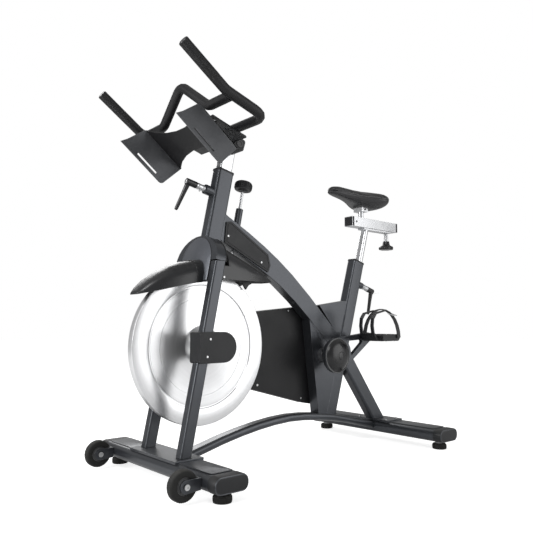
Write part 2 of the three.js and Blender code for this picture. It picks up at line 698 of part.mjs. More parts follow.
function makePedal(side, sign, [px, , pz]) {
  const { inner, outer, half, thickness } = PEDAL;
  const [from, to] = sign < 0 ? [-outer, -inner] : [inner, outer];
  const t = thickness / 2;
  const section = [
    [-half, -t + 5], [-half + 6, -t], [half - 6, -t], [half, -t + 5],
    [half, t - 5], [half - 6, t], [-half + 6, t], [-half, t - 5],
  ].map(([x, z]) => [px + x, pz + z]);
  const body = slab(section, from, to);
  const pocket = (x0, x1) =>
    block([px + x0, from + 10, pz - 40], [px + x1, to - 10, pz + 40]);
  const bore = rod(7 + GAP, [px, 0, pz], Y_AXIS, -PEDAL.outer + 6, PEDAL.outer - 6, 20);
  piece(`${side}_pedal`, cut(body, pocket(-33, -13), pocket(13, 33), bore), BLACK_PLASTIC);

  // The toe cage: two prongs in front of the pedal and a strap over the foot.
  const middle = (from + to) / 2;
  const reach = (to - from) / 2 + 6;
  const skew = new THREE.Matrix4().makeShear(0, 0, sign * 0.55, 0, 0, 0);
  const arch = (w, h, x0, x1) => {
    const shape = new THREE.Shape();
    shape.moveTo(w, 0);
    shape.absellipse(0, 0, w, h, 0, Math.PI);
    const geometry = new THREE.ExtrudeGeometry(shape, {
      depth: x1 - x0,
      bevelEnabled: false,
      curveSegments: 7,
    });
    geometry.rotateX(Math.PI / 2);
    geometry.rotateZ(Math.PI / 2);
    geometry.translate(x0, 0, 0);
    geometry.applyMatrix4(skew);
    geometry.translate(px, middle, pz);
    return solid(geometry);
  };
  const strap = cut(arch(reach, 98, -2, 14), arch(reach - 3, 95, -3, 15));
  const prong = [
    [-half - GAP, -t], [-half - 10, -t], [-half - 28, 14], [-half - 32, 40], [-half - 28, 66],
    [-half - 12, 84], [-4, 94], [-4, 90], [-half - 10, 79], [-half - 24, 62],
    [-half - 27, 40], [-half - 23, 17], [-half - 8, 0], [-half - GAP, 0],
  ].map(([x, z]) => [px + x, pz + z]);
  const prongs = [-24, 24].map((y) => slab(prong, middle + y - 6, middle + y + 6));
  const web = slab(
    [[-half - GAP, -t], [-half - 10, -t], [-half - 28, 14], [-half - 23, 17], [-half - 8, 0],
      [-half - GAP, 0]].map(([x, z]) => [px + x, pz + z]),
    middle - 25, middle + 25
  );
  const hooks = [-1, 1].map((end) => {
    const x = px + 6 + sign * 0.55 * end * reach;
    const y = middle + end * (reach - 3);
    return block([x - 8, Math.min(y, y - end * 2.6), pz - 3], [x + 8, Math.max(y, y - end * 2.6), pz + 3]);
  });
  piece(`${side}_toe_cage`, union(strap, ...prongs, web, ...hooks), BLACK_PLASTIC);
}

// ---- handlebar ----
const BAR_SLOPE = (BARS.rear[1] - BARS.bend[1]) / (BARS.rear[0] - BARS.bend[0]);
const barHeight = (x) => BARS.bend[1] + BAR_SLOPE * (x - BARS.bend[0]);
const PLATE = 6;
const plateTop = (x) => barHeight(x) - BARS.radius + 2;
const CLAMP_BLOCK = { z: 963, size: 38, half: 60 };

// The outer bar, from one tip round the back to the other.
function outerBar(grow = 0) {
  const { radius, half, tip, bend, rear } = BARS;
  const at = ([x, z], y) => new THREE.Vector3(x, y, z).toArray();
  const route = [
    at(tip, -half), at(bend, -half), at(rear, -half), at(rear, half), at(bend, half), at(tip, half),
  ];
  return pipe(bentPath(route, [60, 38, 38, 60]), circle(radius + grow));
}

function makeHandlebar() {
  const { radius, half } = BARS;
  const [x0, x1] = [66, 187];
  const plate = slab(
    [[x0, plateTop(x0)], [x1, plateTop(x1)], [x1, plateTop(x1) - PLATE], [x0, plateTop(x0) - PLATE]],
    -115, 115
  );
  const holes = [[84, -98], [128, -98], [84, 98], [128, 98]].map(([x, y]) =>
    rod(6, [x, y, 0], Z_AXIS, 900, 1100, 14));
  piece('handlebar', cut(union(outerBar(), plate), clampSolid(GAP), ...holes), GRIP);

  const lowZ = barHeight(LOOP.x);
  const reach = half - radius * 0.6;
  const loop = bentPath(
    [
      [LOOP.x, -reach, lowZ], [LOOP.x, -LOOP.half, lowZ], [LOOP.apex[0], 0, LOOP.apex[1]],
      [LOOP.x, LOOP.half, lowZ], [LOOP.x, reach, lowZ],
    ],
    [45, 38, 45]
  );
  piece('inner_bar', cut(pipe(loop, circle(radius)), outerBar(GAP)), GRIP);

  const stem = strut(
    [centreX(HEAD, 700), 700], [centreX(HEAD, 950), 950], STEM.depth, STEM.width, 6
  );
  piece('handlebar_stem', cut(stem, clampSolid(GAP)), SILVER);
  piece('head_clamp', cut(clampSolid(0), outerBar(GAP)), BLACK_PLASTIC);
}

// The square cross tube on top of the stem, turned to lie along the bars' slope.
function clampSolid(grow) {
  const { z, size, half } = CLAMP_BLOCK;
  const x = centreX(HEAD, z);
  const turn = Math.atan(BAR_SLOPE);
  const geometry = new THREE.ExtrudeGeometry(
    roundedRectangle(size + 2 * grow, size + 2 * grow, 8),
    { depth: 2 * (half + grow), bevelEnabled: false, curveSegments: 3 }
  );
  geometry.rotateX(Math.PI / 2);
  geometry.translate(0, half + grow, 0);
  geometry.rotateY(-turn);
  geometry.translate(x, 0, z);
  return solid(geometry);
}

// The bent sheet below the bars: a waisted bridge between two slotted wings.
const CRADLE = { half: 146, front: [-2, 1010], rear: [126, 910], waist: 45, sheet: 3 };
function makeCradle() {
  const { half, front, rear, waist, sheet } = CRADLE;
  const length = Math.hypot(rear[0] - front[0], rear[1] - front[1]);
  const [dx, dz] = [(rear[0] - front[0]) / length, (rear[1] - front[1]) / length];
  // local x along the slope, local y across, local z up from the sheet
  const place = new THREE.Matrix4().makeBasis(
    new THREE.Vector3(dx, 0, dz), new THREE.Vector3(0, 1, 0), new THREE.Vector3(-dz, 0, dx)
  );
  const put = (geometry) => {
    geometry.applyMatrix4(place);
    geometry.translate(front[0], 0, front[1]);
    return solid(geometry);
  };
  const bridgeShape = new THREE.Shape();
  bridgeShape.moveTo(0, half);
  bridgeShape.bezierCurveTo(waist * 1.3, half * 0.45, waist * 1.3, -half * 0.45, 0, -half);
  bridgeShape.lineTo(length, -half);
  bridgeShape.bezierCurveTo(
    length - waist * 1.3, -half * 0.45, length - waist * 1.3, half * 0.45, length, half
  );
  const bridge = put(
    new THREE.ExtrudeGeometry(bridgeShape, { depth: sheet, bevelEnabled: false, curveSegments: 7 })
  );
  const wings = [-1, 1].map((sign) => {
    const shape = new THREE.Shape();
    // local x along the slope, local y down the wing
    shape.moveTo(8, 0);
    shape.lineTo(length, 0);
    shape.lineTo(length - 14, -78);
    shape.quadraticCurveTo(length - 18, -87, length - 28, -87);
    shape.lineTo(-32, -87);
    shape.lineTo(-22, -66);
    shape.lineTo(-4, -10);
    shape.quadraticCurveTo(0, 0, 8, 0);
    const slot = new THREE.Path();
    slot.moveTo(30, -76);
    slot.lineTo(112, -76);
    slot.lineTo(112, -70);
    slot.lineTo(30, -70);
    shape.holes.push(slot);
    const geometry = new THREE.ExtrudeGeometry(shape, {
      depth: sheet,
      bevelEnabled: false,
      curveSegments: 4,
    });
    geometry.rotateX(Math.PI / 2);
    geometry.translate(0, sheet / 2, sheet);
    geometry.rotateX(sign * 0.12);
    geometry.translate(0, sign * (half - sheet / 2), 0);
    return put(geometry);
  });
  const sheetTop = (x) => front[1] + (dz / dx) * (x - front[0]) + sheet;
  const [x0, x1] = [70, 90];
  const posts = [-50, 50].map((y) =>
    slab(
      [[x0, sheetTop(x0)], [x1, sheetTop(x1)], [x1, plateTop(x1) - PLATE - GAP],
        [x0, plateTop(x0) - PLATE - GAP]],
      y - 8, y + 8
    ));
  piece('accessory_cradle', union(bridge, ...wings, ...posts), SHEET_GREY);
}

// ---- brake ----
function makeBrake() {
  const base = [BRAKE.x, 0, 0];
  const dir = [BRAKE.rake, 0, 1];
  const long = Math.hypot(1, BRAKE.rake);
  const h = (z) => z * long;
  piece('brake_rod', rod(BRAKE.rod, base, dir, h(BRAKE.rodEnd), h(BRAKE.knobBase) + 8, 16), SILVER);
  const knob = turned(
    [[BRAKE.rod + GAP, 0], [14, 0], [16, 4], [BRAKE.knob - 3, 4], [BRAKE.knob, 8],
      [BRAKE.knob, 26], [BRAKE.knob - 5, 31], [0, 33], [0, 9], [BRAKE.rod + GAP, 9],
      [BRAKE.rod + GAP, 0]],
    [BRAKE.x + BRAKE.rake * BRAKE.knobBase, 0, BRAKE.knobBase], dir, 20
  );
  piece('resistance_knob', knob, BLACK_PLASTIC);
  const cheek = [
    [326, 554], [324, 566], [300, 573], [206, 577], [206, 560], [222, 549], [246, 547],
    [262, 525], [272, 538], [300, 552],
  ];
  const gap = FLYWHEEL.half + 4;
  const cheeks = [[-gap - 7, -gap], [gap, gap + 7]].map(([from, to]) => slab(cheek, from, to));
  const bridge = slab([[300, 573], [206, 577], [206, 573], [300, 569]], -gap - 1, gap + 1);
  const pivot = rod(7, [CALIPER_PIVOT[0], 0, CALIPER_PIVOT[1]], Y_AXIS, -gap - 7, gap + 7, 20);
  piece('brake_caliper', union(...cheeks, bridge, pivot), BLACK_PLASTIC);
}

// ---- clamp levers ----
const LEVER_BOSS = 26;
function lever(tubeSize, z, sign, handleDir, name) {
  const face = clampPoint(tubeSize, z, sign);
  const axis = clampAxis(tubeSize, sign);
  const start = LEVER_BOSS + GAP;
  const collar = rod(9, face, axis, start, 58, 16);
  const head = rod(10, face, axis, 57, 92, 18);
  const unit = new THREE.Vector3(...axis).normalize();
  const headAt = new THREE.Vector3(...face).addScaledVector(unit, 84);
  const taper = [[0, 0], [8, 0], [6.5, 36], [5.5, 85], [4, 90], [0, 90]];
  const grip = turned(taper, headAt.toArray(), handleDir, 12);
  piece(name, union(collar, head, grip), BLACK_PLASTIC);
}

// ---- saddle and its rail ----
function makeSeat() {
  const { bottom, top, half, front, rear, neck, knob } = RAIL;
  const at = (z) => [centreX(SEAT, z) + SEAT_POST.offset, z];
  const plateLow = bottom - GAP - 6;
  const post = strut(at(470), at(plateLow + 3), SEAT_POST.depth, SEAT_POST.width, 8);
  const squared = block([700, -50, plateLow + 2], [1000, 50, 900]);
  const plate = block([836, -16, plateLow], [knob + 16, 16, bottom - GAP]);
  const stalk = block([neck[0], -7, bottom - 1], [neck[1], 7, bottom + 10]);
  const shoe = block([neck[0] - 4, -half + 5, bottom + 4], [neck[1] + 4, half - 5, bottom + 14]);
  const threadHole = rod(6, [knob, 0, 0], Z_AXIS, plateLow - 1, bottom, 16);
  piece('seat_post', cut(union(cut(post, squared), plate, stalk, shoe), threadHole), SILVER);

  const bar = cut(
    block([front, -half, bottom], [rear, half, top]),
    block([front - 1, -half + 3, bottom + 3], [rear + 1, half - 3, top - 3]),
    block([neck[0] - RAIL.travel - 4, -8, bottom - 1], [neck[1] + RAIL.travel + 4, 8, bottom + 4])
  );
  const stem = rod(9.5, [835, 0, 0], Z_AXIS, top - 2, 848, 20);
  const clampHead = block([818, -21, 840], [852, 21, 856]);
  piece('saddle_slider', union(bar, stem, clampHead), SILVER);

  const star = turned(
    [[0, 0], [27, 0], [30, 3], [30, 9], [24, 14], [15, 18], [13, 32], [8, 32], [8, 63],
      [5.5, 63], [5.5, 70], [0, 70]],
    [knob, 0, 709.4], Z_AXIS, 20
  );
  piece('slider_knob', star, BLACK_PLASTIC);

  const stations = [
    [664, 0.10, 893, 903], [672, 0.24, 888, 912], [700, 0.30, 886, 917], [740, 0.34, 882, 916],
    [780, 0.46, 874, 914], [820, 0.68, 864, 913], [860, 0.94, 858, 915], [890, 1.0, 857, 917],
    [912, 0.9, 861, 915], [926, 0.66, 868, 910], [931, 0.4, 878, 902],
  ];
  const section = (x, half2, low, high) => {
    const points = [];
    for (let i = 0; i < 20; i++) {
      const a = (2 * Math.PI * i) / 20;
      const z = Math.sin(a);
      const middle = (low + high) / 2;
      points.push([x, half2 * Math.cos(a), middle + ((high - low) / 2) * z]);
    }
    return points;
  };
  const pad = loft(stations.map(([x, w, low, high]) => section(x, w * SADDLE.half, low, high)));
  const basePlate = loft(
    stations.slice(1, -1).map(([x, w, low]) => {
      const w2 = w * SADDLE.half * 0.86;
      return [[x, -w2, low + 6], [x, w2, low + 6], [x, w2 * 0.8, low - 5], [x, -w2 * 0.8, low - 5]];
    })
  );
  const padLower = loft(
    stations.map(([x, w, low, high]) => section(x, w * SADDLE.half + GAP, low - GAP, high + GAP))
  );
  piece('saddle', pad, PADDING);
  const mount = block([810, -24, 856 + GAP], [860, 24, 872]);
  const room = block([818 - GAP, -21 - GAP, 839], [852 + GAP, 21 + GAP, 856 + GAP]);
  piece('saddle_base', largest(cut(union(basePlate, mount), padLower, room)), BLACK_PLASTIC);
}

makeBase();
makeTransportWheels();
makeFrameTubes();
makeBeamCovers();
makeFlywheel();
makeFenders();
makeDrive();
makeCranks();
makeHandlebar();
makeCradle();
makeBrake();
lever(HEAD, 810, -1, [-0.19, 0.46, -0.87], 'front_clamp_lever');
lever(SEAT, 576, 1, [-0.22, 0, -0.97], 'rear_clamp_lever');
makeSeat();

export default root;
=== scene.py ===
import json
import math
import bpy
import bmesh
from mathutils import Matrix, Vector
from mathutils.bvhtree import BVHTree

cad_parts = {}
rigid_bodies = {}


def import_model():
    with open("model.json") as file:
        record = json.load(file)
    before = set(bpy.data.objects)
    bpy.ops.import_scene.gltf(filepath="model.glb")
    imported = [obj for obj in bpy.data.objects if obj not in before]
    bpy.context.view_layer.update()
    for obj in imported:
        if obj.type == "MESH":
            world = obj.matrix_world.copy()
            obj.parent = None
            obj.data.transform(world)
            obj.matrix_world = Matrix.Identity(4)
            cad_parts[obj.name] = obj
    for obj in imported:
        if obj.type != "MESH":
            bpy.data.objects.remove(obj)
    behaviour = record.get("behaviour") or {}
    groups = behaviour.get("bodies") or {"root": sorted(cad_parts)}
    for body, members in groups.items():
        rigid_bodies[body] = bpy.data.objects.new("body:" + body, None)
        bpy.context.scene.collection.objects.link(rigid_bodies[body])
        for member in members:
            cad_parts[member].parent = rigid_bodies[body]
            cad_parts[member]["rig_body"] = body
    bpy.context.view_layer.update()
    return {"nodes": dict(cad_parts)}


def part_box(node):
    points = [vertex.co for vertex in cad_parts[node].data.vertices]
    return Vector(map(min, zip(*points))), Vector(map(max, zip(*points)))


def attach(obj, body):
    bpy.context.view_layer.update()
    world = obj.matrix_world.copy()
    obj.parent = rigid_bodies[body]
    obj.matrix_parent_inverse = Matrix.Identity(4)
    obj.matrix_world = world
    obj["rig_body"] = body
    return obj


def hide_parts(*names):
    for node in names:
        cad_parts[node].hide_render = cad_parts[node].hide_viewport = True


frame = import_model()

scene = bpy.context.scene
nodes = frame["nodes"]
bodyOf = {name: obj["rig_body"] for name, obj in nodes.items()}
originX = 452.5  # how far the shared frame stands behind the front foot bar, in mm


# A place on the bike, given in mm behind, beside and above the front foot bar.
def spot(x, y, z):
    return Vector(((x - originX) / 1000, y / 1000, z / 1000))


# A node with its settings, then its inputs; a socket given as a value is linked.
def addNode(tree, kind, inputs=None, **settings):
    node = tree.nodes.new(kind)
    for key, value in settings.items():
        setattr(node, key, value)
    for key, value in (inputs or {}).items():
        if isinstance(value, bpy.types.NodeSocket):
            tree.links.new(value, node.inputs[key])
        else:
            node.inputs[key].default_value = value
    return node


def newTree(name, kind, takes, gives):
    tree = bpy.data.node_groups.new(name, kind)
    for label, socketKind, value in takes:
        socket = tree.interface.new_socket(name=label, in_out="INPUT", socket_type=socketKind)
        if value is not None:
            socket.default_value = value
    for label, socketKind in gives:
        tree.interface.new_socket(name=label, in_out="OUTPUT", socket_type=socketKind)
    start = tree.nodes.new("NodeGroupInput")
    end = tree.nodes.new("NodeGroupOutput")
    return tree, start.outputs, end.inputs


# How many of a length fit in a metre, for a texture's scale.
def perMetre(tree, length):
    return addNode(tree, "ShaderNodeMath", {0: 1.0, 1: length}, operation="DIVIDE").outputs[0]


def times(tree, a, b, clamp=False):
    return addNode(tree, "ShaderNodeMath", {0: a, 1: b}, operation="MULTIPLY", use_clamp=clamp).outputs[0]


def spread(tree, value, low, high):
    node = addNode(tree, "ShaderNodeMapRange", {"Value": value, "From Min": low, "From Max": high})
    return node.outputs["Result"]


# Fine moulded or sprayed grain, as a height.
def buildGrain():
    tree, given, end = newTree(
        "surfaceGrain", "ShaderNodeTree",
        [("Vector", "NodeSocketVector", None), ("Grain Size", "NodeSocketFloat", 0.0008),
         ("Pebble", "NodeSocketFloat", 0.3)],
        [("Height", "NodeSocketFloat")])
    where = {"Vector": given["Vector"], "Scale": perMetre(tree, given["Grain Size"])}
    noise = addNode(tree, "ShaderNodeTexNoise", {**where, "Detail": 3.0, "Roughness": 0.6})
    cells = addNode(tree, "ShaderNodeTexVoronoi", {**where, "Randomness": 1.0}, feature="SMOOTH_F1")
    blend = addNode(tree, "ShaderNodeMix", {
        "Factor": given["Pebble"], "A": noise.outputs["Fac"], "B": cells.outputs["Distance"]},
        data_type="FLOAT")
    tree.links.new(blend.outputs["Result"], end["Height"])
    return tree


# Hand marks and slow changes of tone, from 0 to 1.
def buildBlotch():
    tree, given, end = newTree(
        "slowBlotch", "ShaderNodeTree",
        [("Vector", "NodeSocketVector", None), ("Patch Size", "NodeSocketFloat", 0.06)],
        [("Value", "NodeSocketFloat")])
    noise = addNode(tree, "ShaderNodeTexNoise", {
        "Vector": given["Vector"], "Scale": perMetre(tree, given["Patch Size"]),
        "Detail": 5.0, "Roughness": 0.55, "Distortion": 0.4})
    tree.links.new(spread(tree, noise.outputs["Fac"], 0.3, 0.7), end["Value"])
    return tree


# Where outer corners have been rubbed, broken up by noise.
def buildEdgeWear():
    tree, given, end = newTree(
        "edgeWear", "ShaderNodeTree",
        [("Vector", "NodeSocketVector", None), ("Strength", "NodeSocketFloat", 0.4),
         ("Break Size", "NodeSocketFloat", 0.012)],
        [("Mask", "NodeSocketFloat")])
    shape = addNode(tree, "ShaderNodeNewGeometry")
    rounded = addNode(tree, "ShaderNodeBevel", {"Radius": 0.0016}, samples=4)
    agree = addNode(tree, "ShaderNodeVectorMath", {0: shape.outputs["Normal"], 1: rounded.outputs["Normal"]},
                    operation="DOT_PRODUCT")
    ridge = spread(tree, agree.outputs["Value"], 0.995, 0.93)
    noise = addNode(tree, "ShaderNodeTexNoise", {
        "Vector": given["Vector"], "Scale": perMetre(tree, given["Break Size"]), "Detail": 4.0})
    broken = spread(tree, noise.outputs["Fac"], 0.38, 0.62)
    worn = times(tree, times(tree, ridge, broken), given["Strength"], clamp=True)
    tree.links.new(worn, end["Mask"])
    return tree


# A light dusting on faces that look up.
def buildDust():
    tree, given, end = newTree(
        "topDust", "ShaderNodeTree",
        [("Vector", "NodeSocketVector", None), ("Amount", "NodeSocketFloat", 0.1)],
        [("Mask", "NodeSocketFloat")])
    shape = addNode(tree, "ShaderNodeNewGeometry")
    parts = addNode(tree, "ShaderNodeSeparateXYZ", {0: shape.outputs["Normal"]})
    up = spread(tree, parts.outputs["Z"], 0.35, 1.0)
    noise = addNode(tree, "ShaderNodeTexNoise", {"Vector": given["Vector"], "Scale": 95.0, "Detail": 6.0})
    dusty = times(tree, times(tree, up, noise.outputs["Fac"]), given["Amount"], clamp=True)
    tree.links.new(dusty, end["Mask"])
    return tree


# Turning marks round an axis along Y: rings by distance from the centre.
def buildTurning():
    tree, given, end = newTree(
        "turningMarks", "ShaderNodeTree",
        [("Vector", "NodeSocketVector", None), ("Ring Pitch", "NodeSocketFloat", 0.0006)],
        [("Height", "NodeSocketFloat"), ("Shade", "NodeSocketFloat")])
    flat = addNode(tree, "ShaderNodeVectorMath", {0: given["Vector"], 1: (1.0, 0.0, 1.0)},
                   operation="MULTIPLY")
    radius = addNode(tree, "ShaderNodeVectorMath", {0: flat.outputs["Vector"]}, operation="LENGTH")
    pitch = perMetre(tree, given["Ring Pitch"])
    for output, scale, detail in (("Height", pitch, 2.0), ("Shade", 85.0, 4.0)):
        rings = addNode(tree, "ShaderNodeTexNoise", noise_dimensions="1D", inputs={
            "W": radius.outputs["Value"], "Scale": scale, "Detail": detail})
        tree.links.new(rings.outputs["Fac"], end[output])
    return tree


grainTree = buildGrain()
blotchTree = buildBlotch()
wearTree = buildEdgeWear()
dustTree = buildDust()
turningTree = buildTurning()


def rgb(value):
    return (*value, 1.0)


def useGroup(tree, group, vector, **inputs):
    node = tree.nodes.new("ShaderNodeGroup")
    node.node_tree = group
    tree.links.new(vector, node.inputs["Vector"])
    for key, value in inputs.items():
        node.inputs[key].default_value = value
    return node


# One finish: tone, rubbed corners, dust, roughness and a bump at real scale.
def makeFinish(name, look):
    material = bpy.data.materials.new(name)
    material.use_nodes = True
    tree = material.node_tree
    tree.nodes.clear()
    place = addNode(tree, "ShaderNodeTexCoord")
    here = place.outputs["Object"]
    mapping = addNode(tree, "ShaderNodeMapping", {
        "Vector": here, "Location": look.get("centre", (0, 0, 0)), "Scale": look.get("stretch", (1, 1, 1))})
    blotch = useGroup(tree, blotchTree, here)
    tone = addNode(tree, "ShaderNodeMix", {
        "Factor": blotch.outputs["Value"], "A": rgb(look["color"]), "B": rgb(look["tint"])}, data_type="RGBA")
    color = tone.outputs["Result"]
    shade = blotch.outputs["Value"]
    if "turned" in look:
        marks = useGroup(tree, turningTree, mapping.outputs[0], **{"Ring Pitch": look["turned"]})
        height = marks.outputs["Height"]
        shade = marks.outputs["Shade"]
        rings = addNode(tree, "ShaderNodeMix", {"Factor": 0.12, "A": color, "B": shade},
                        data_type="RGBA", blend_type="MULTIPLY")
        color = rings.outputs["Result"]
    else:
        grain = useGroup(tree, grainTree, mapping.outputs[0],
                         **{"Grain Size": look["grain"], "Pebble": look.get("pebble", 0.3)})
        height = grain.outputs["Height"]
    wear = useGroup(tree, wearTree, here, Strength=look["wear"])
    rubbed = addNode(tree, "ShaderNodeMix", {
        "Factor": wear.outputs["Mask"], "A": color, "B": rgb(look.get("rubbed", (0.2, 0.2, 0.21)))},
        data_type="RGBA")
    dust = useGroup(tree, dustTree, here, Amount=look.get("dust", 0.12))
    dusty = addNode(tree, "ShaderNodeMix", {
        "Factor": dust.outputs["Mask"], "A": rubbed.outputs["Result"], "B": rgb(dustColor)}, data_type="RGBA")
    low, high = look["rough"]
    rough = addNode(tree, "ShaderNodeMapRange", {"Value": shade, "To Min": low, "To Max": high})
    duller = addNode(tree, "ShaderNodeMath", {0: rough.outputs["Result"], 1: dust.outputs["Mask"]},
                     operation="ADD", use_clamp=True)
    bump = addNode(tree, "ShaderNodeBump", {
        "Strength": look["bump"], "Distance": bumpDepth, "Height": height})
    shader = addNode(tree, "ShaderNodeBsdfPrincipled", {
        "Base Color": dusty.outputs["Result"], "Roughness": duller.outputs[0], "Normal": bump.outputs[0],
        **look.get("shader", {})})
    addNode(tree, "ShaderNodeOutputMaterial", {"Surface": shader.outputs[0]})
    return material


dustColor = (0.42, 0.41, 0.39)
bumpDepth = 0.0002  # in m
finishes = {
    "framePaint": {
        "color": (0.052, 0.056, 0.064), "tint": (0.060, 0.064, 0.072), "rough": (0.28, 0.35),
        "grain": 0.0007, "bump": 0.10, "wear": 0.30, "rubbed": (0.22, 0.225, 0.235), "dust": 0.1,
        "shader": {"Metallic": 0.7, "Coat Weight": 0.3, "Coat Roughness": 0.2}},
    "mouldedBlack": {
        "color": (0.010, 0.0105, 0.012), "tint": (0.014, 0.0145, 0.016), "rough": (0.38, 0.50),
        "grain": 0.0006, "pebble": 0.7, "bump": 0.25, "wear": 0.25, "rubbed": (0.10, 0.10, 0.10),
        "shader": {"Specular IOR Level": 0.36}},
    "fenderBlack": {
        "color": (0.012, 0.0125, 0.014), "tint": (0.017, 0.0175, 0.019), "rough": (0.26, 0.34),
        "grain": 0.0008, "pebble": 0.5, "bump": 0.12, "wear": 0.2, "rubbed": (0.10, 0.10, 0.10),
        "shader": {"Specular IOR Level": 0.55}},
    "guardBlackAndShade": {
        "color": (0.008, 0.008, 0.009), "tint": (0.012, 0.012, 0.013), "rough": (0.42, 0.55),
        "grain": 0.0011, "pebble": 0.8, "bump": 0.3, "wear": 0.2, "rubbed": (0.09, 0.09, 0.09),
        "shader": {"Specular IOR Level": 0.3}},
    "glossBlack": {
        "color": (0.007, 0.007, 0.008), "tint": (0.011, 0.011, 0.012), "rough": (0.24, 0.34),
        "grain": 0.0009, "bump": 0.05, "wear": 0.15, "rubbed": (0.12, 0.12, 0.12),
        "shader": {"Specular IOR Level": 0.4, "Coat Weight": 0.15, "Coat Roughness": 0.15}},
    "tyreRubber": {
        "color": (0.009, 0.009, 0.009), "tint": (0.015, 0.015, 0.014), "rough": (0.6, 0.78),
        "grain": 0.0012, "pebble": 0.5, "bump": 0.35, "wear": 0.4, "rubbed": (0.07, 0.07, 0.065),
        "dust": 0.2, "shader": {"Specular IOR Level": 0.35}},
    "barRubber": {
        "color": (0.008, 0.008, 0.009), "tint": (0.012, 0.012, 0.013), "rough": (0.42, 0.55),
        "grain": 0.0016, "pebble": 0.9, "bump": 0.35, "wear": 0.2, "rubbed": (0.06, 0.06, 0.06),
        "shader": {"Specular IOR Level": 0.35}},
    "satinSilver": {
        "color": (0.60, 0.61, 0.625), "tint": (0.68, 0.685, 0.695), "rough": (0.22, 0.32),
        "grain": 0.0005, "stretch": (0.06, 1, 1), "bump": 0.03, "wear": 0.2,
        "rubbed": (0.9, 0.9, 0.9), "dust": 0.06, "shader": {"Metallic": 0.95}},
    "postSilver": {
        "color": (0.62, 0.63, 0.645), "tint": (0.70, 0.705, 0.715), "rough": (0.20, 0.30),
        "grain": 0.0005, "stretch": (1, 1, 0.06), "bump": 0.03, "wear": 0.2,
        "rubbed": (0.9, 0.9, 0.9), "dust": 0.06, "shader": {"Metallic": 0.95}},
    "turnedSteel": {
        "color": (0.84, 0.845, 0.855), "tint": (0.89, 0.895, 0.905), "rough": (0.27, 0.34),
        "turned": 0.0007, "centre": (-(111 - originX) / 1000, 0, -0.357), "bump": 0.12,
        "wear": 0.1, "rubbed": (0.97, 0.97, 0.97), "dust": 0.02, "shader": {"Metallic": 0.92}},
    "plainSteel": {
        "color": (0.30, 0.305, 0.315), "tint": (0.38, 0.385, 0.395), "rough": (0.28, 0.40),
        "grain": 0.0006, "bump": 0.15, "wear": 0.3, "rubbed": (0.6, 0.6, 0.6),
        "shader": {"Metallic": 0.95}},
    "sheetGrey": {
        "color": (0.085, 0.088, 0.094), "tint": (0.100, 0.103, 0.109), "rough": (0.34, 0.44),
        "grain": 0.0007, "pebble": 0.6, "bump": 0.2, "wear": 0.45, "rubbed": (0.3, 0.3, 0.31),
        "shader": {"Metallic": 0.5}},
    "plateGrey": {
        "color": (0.100, 0.107, 0.122), "tint": (0.118, 0.124, 0.139), "rough": (0.30, 0.38),
        "grain": 0.0006, "bump": 0.12, "wear": 0.2, "rubbed": (0.3, 0.3, 0.31), "dust": 0.06,
        "shader": {"Metallic": 0.6}},
    "saddleCover": {
        "color": (0.007, 0.007, 0.008), "tint": (0.011, 0.011, 0.012), "rough": (0.42, 0.55),
        "grain": 0.0014, "pebble": 1.0, "bump": 0.3, "wear": 0.2,
        "rubbed": (0.05, 0.05, 0.05), "shader": {"Specular IOR Level": 0.5, "Sheen Weight": 0.08}},
    "saddleShell": {
        "color": (0.020, 0.020, 0.022), "tint": (0.028, 0.028, 0.030), "rough": (0.30, 0.42),
        "grain": 0.0010, "pebble": 0.5, "bump": 0.15, "wear": 0.2, "rubbed": (0.1, 0.1, 0.1)},
    "paleThread": {
        "color": (0.13, 0.13, 0.135), "tint": (0.18, 0.18, 0.185), "rough": (0.6, 0.75),
        "grain": 0.0004, "bump": 0.3, "wear": 0.1},
    "beltRubber": {
        "color": (0.014, 0.014, 0.014), "tint": (0.02, 0.02, 0.02), "rough": (0.55, 0.7),
        "grain": 0.0008, "bump": 0.3, "wear": 0.3, "rubbed": (0.06, 0.06, 0.06)},
    "darkScrew": {
        "color": (0.035, 0.035, 0.037), "tint": (0.05, 0.05, 0.052), "rough": (0.28, 0.38),
        "grain": 0.0004, "bump": 0.15, "wear": 0.6, "rubbed": (0.4, 0.4, 0.4),
        "shader": {"Metallic": 0.8}},
    "zincScrew": {
        "color": (0.55, 0.555, 0.56), "tint": (0.66, 0.665, 0.67), "rough": (0.24, 0.34),
        "grain": 0.0004, "bump": 0.15, "wear": 0.3, "rubbed": (0.85, 0.85, 0.85),
        "shader": {"Metallic": 0.95}},
    "hubGrey": {
        "color": (0.055, 0.056, 0.059), "tint": (0.075, 0.076, 0.079), "rough": (0.4, 0.5),
        "grain": 0.0007, "pebble": 0.6, "bump": 0.2, "wear": 0.3, "rubbed": (0.4, 0.4, 0.4)},
}
material = {name: makeFinish(name, look) for name, look in finishes.items()}
print("finishes ready:", len(material))


def newObject(name, mesh):
    obj = bpy.data.objects.new(name, mesh)
    scene.collection.objects.link(obj)
    return obj


def finishPiece(obj, body, finish, stands=(), crease=35):
    mesh = obj.data
    if finish and not mesh.materials:
        mesh.materials.append(material[finish])
    if crease:
        mesh.shade_smooth()
        mesh.set_sharp_from_angle(angle=math.radians(crease))
    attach(obj, body)
    if stands:
        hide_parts(*stands)
    return obj


# The evaluated mesh in place of live modifiers.
def settle(obj):
    graph = bpy.context.evaluated_depsgraph_get()
    mesh = bpy.data.meshes.new_from_object(obj.evaluated_get(graph))
    obj.modifiers.clear()
    obj.data = mesh
    return obj


# Joins the loose triangles of an imported mesh and drops the edges on its flat faces.
def joinFaces(work):
    bmesh.ops.remove_doubles(work, verts=work.verts, dist=0.00004)
    bmesh.ops.dissolve_limit(
        work, angle_limit=math.radians(0.8), verts=work.verts, edges=work.edges)


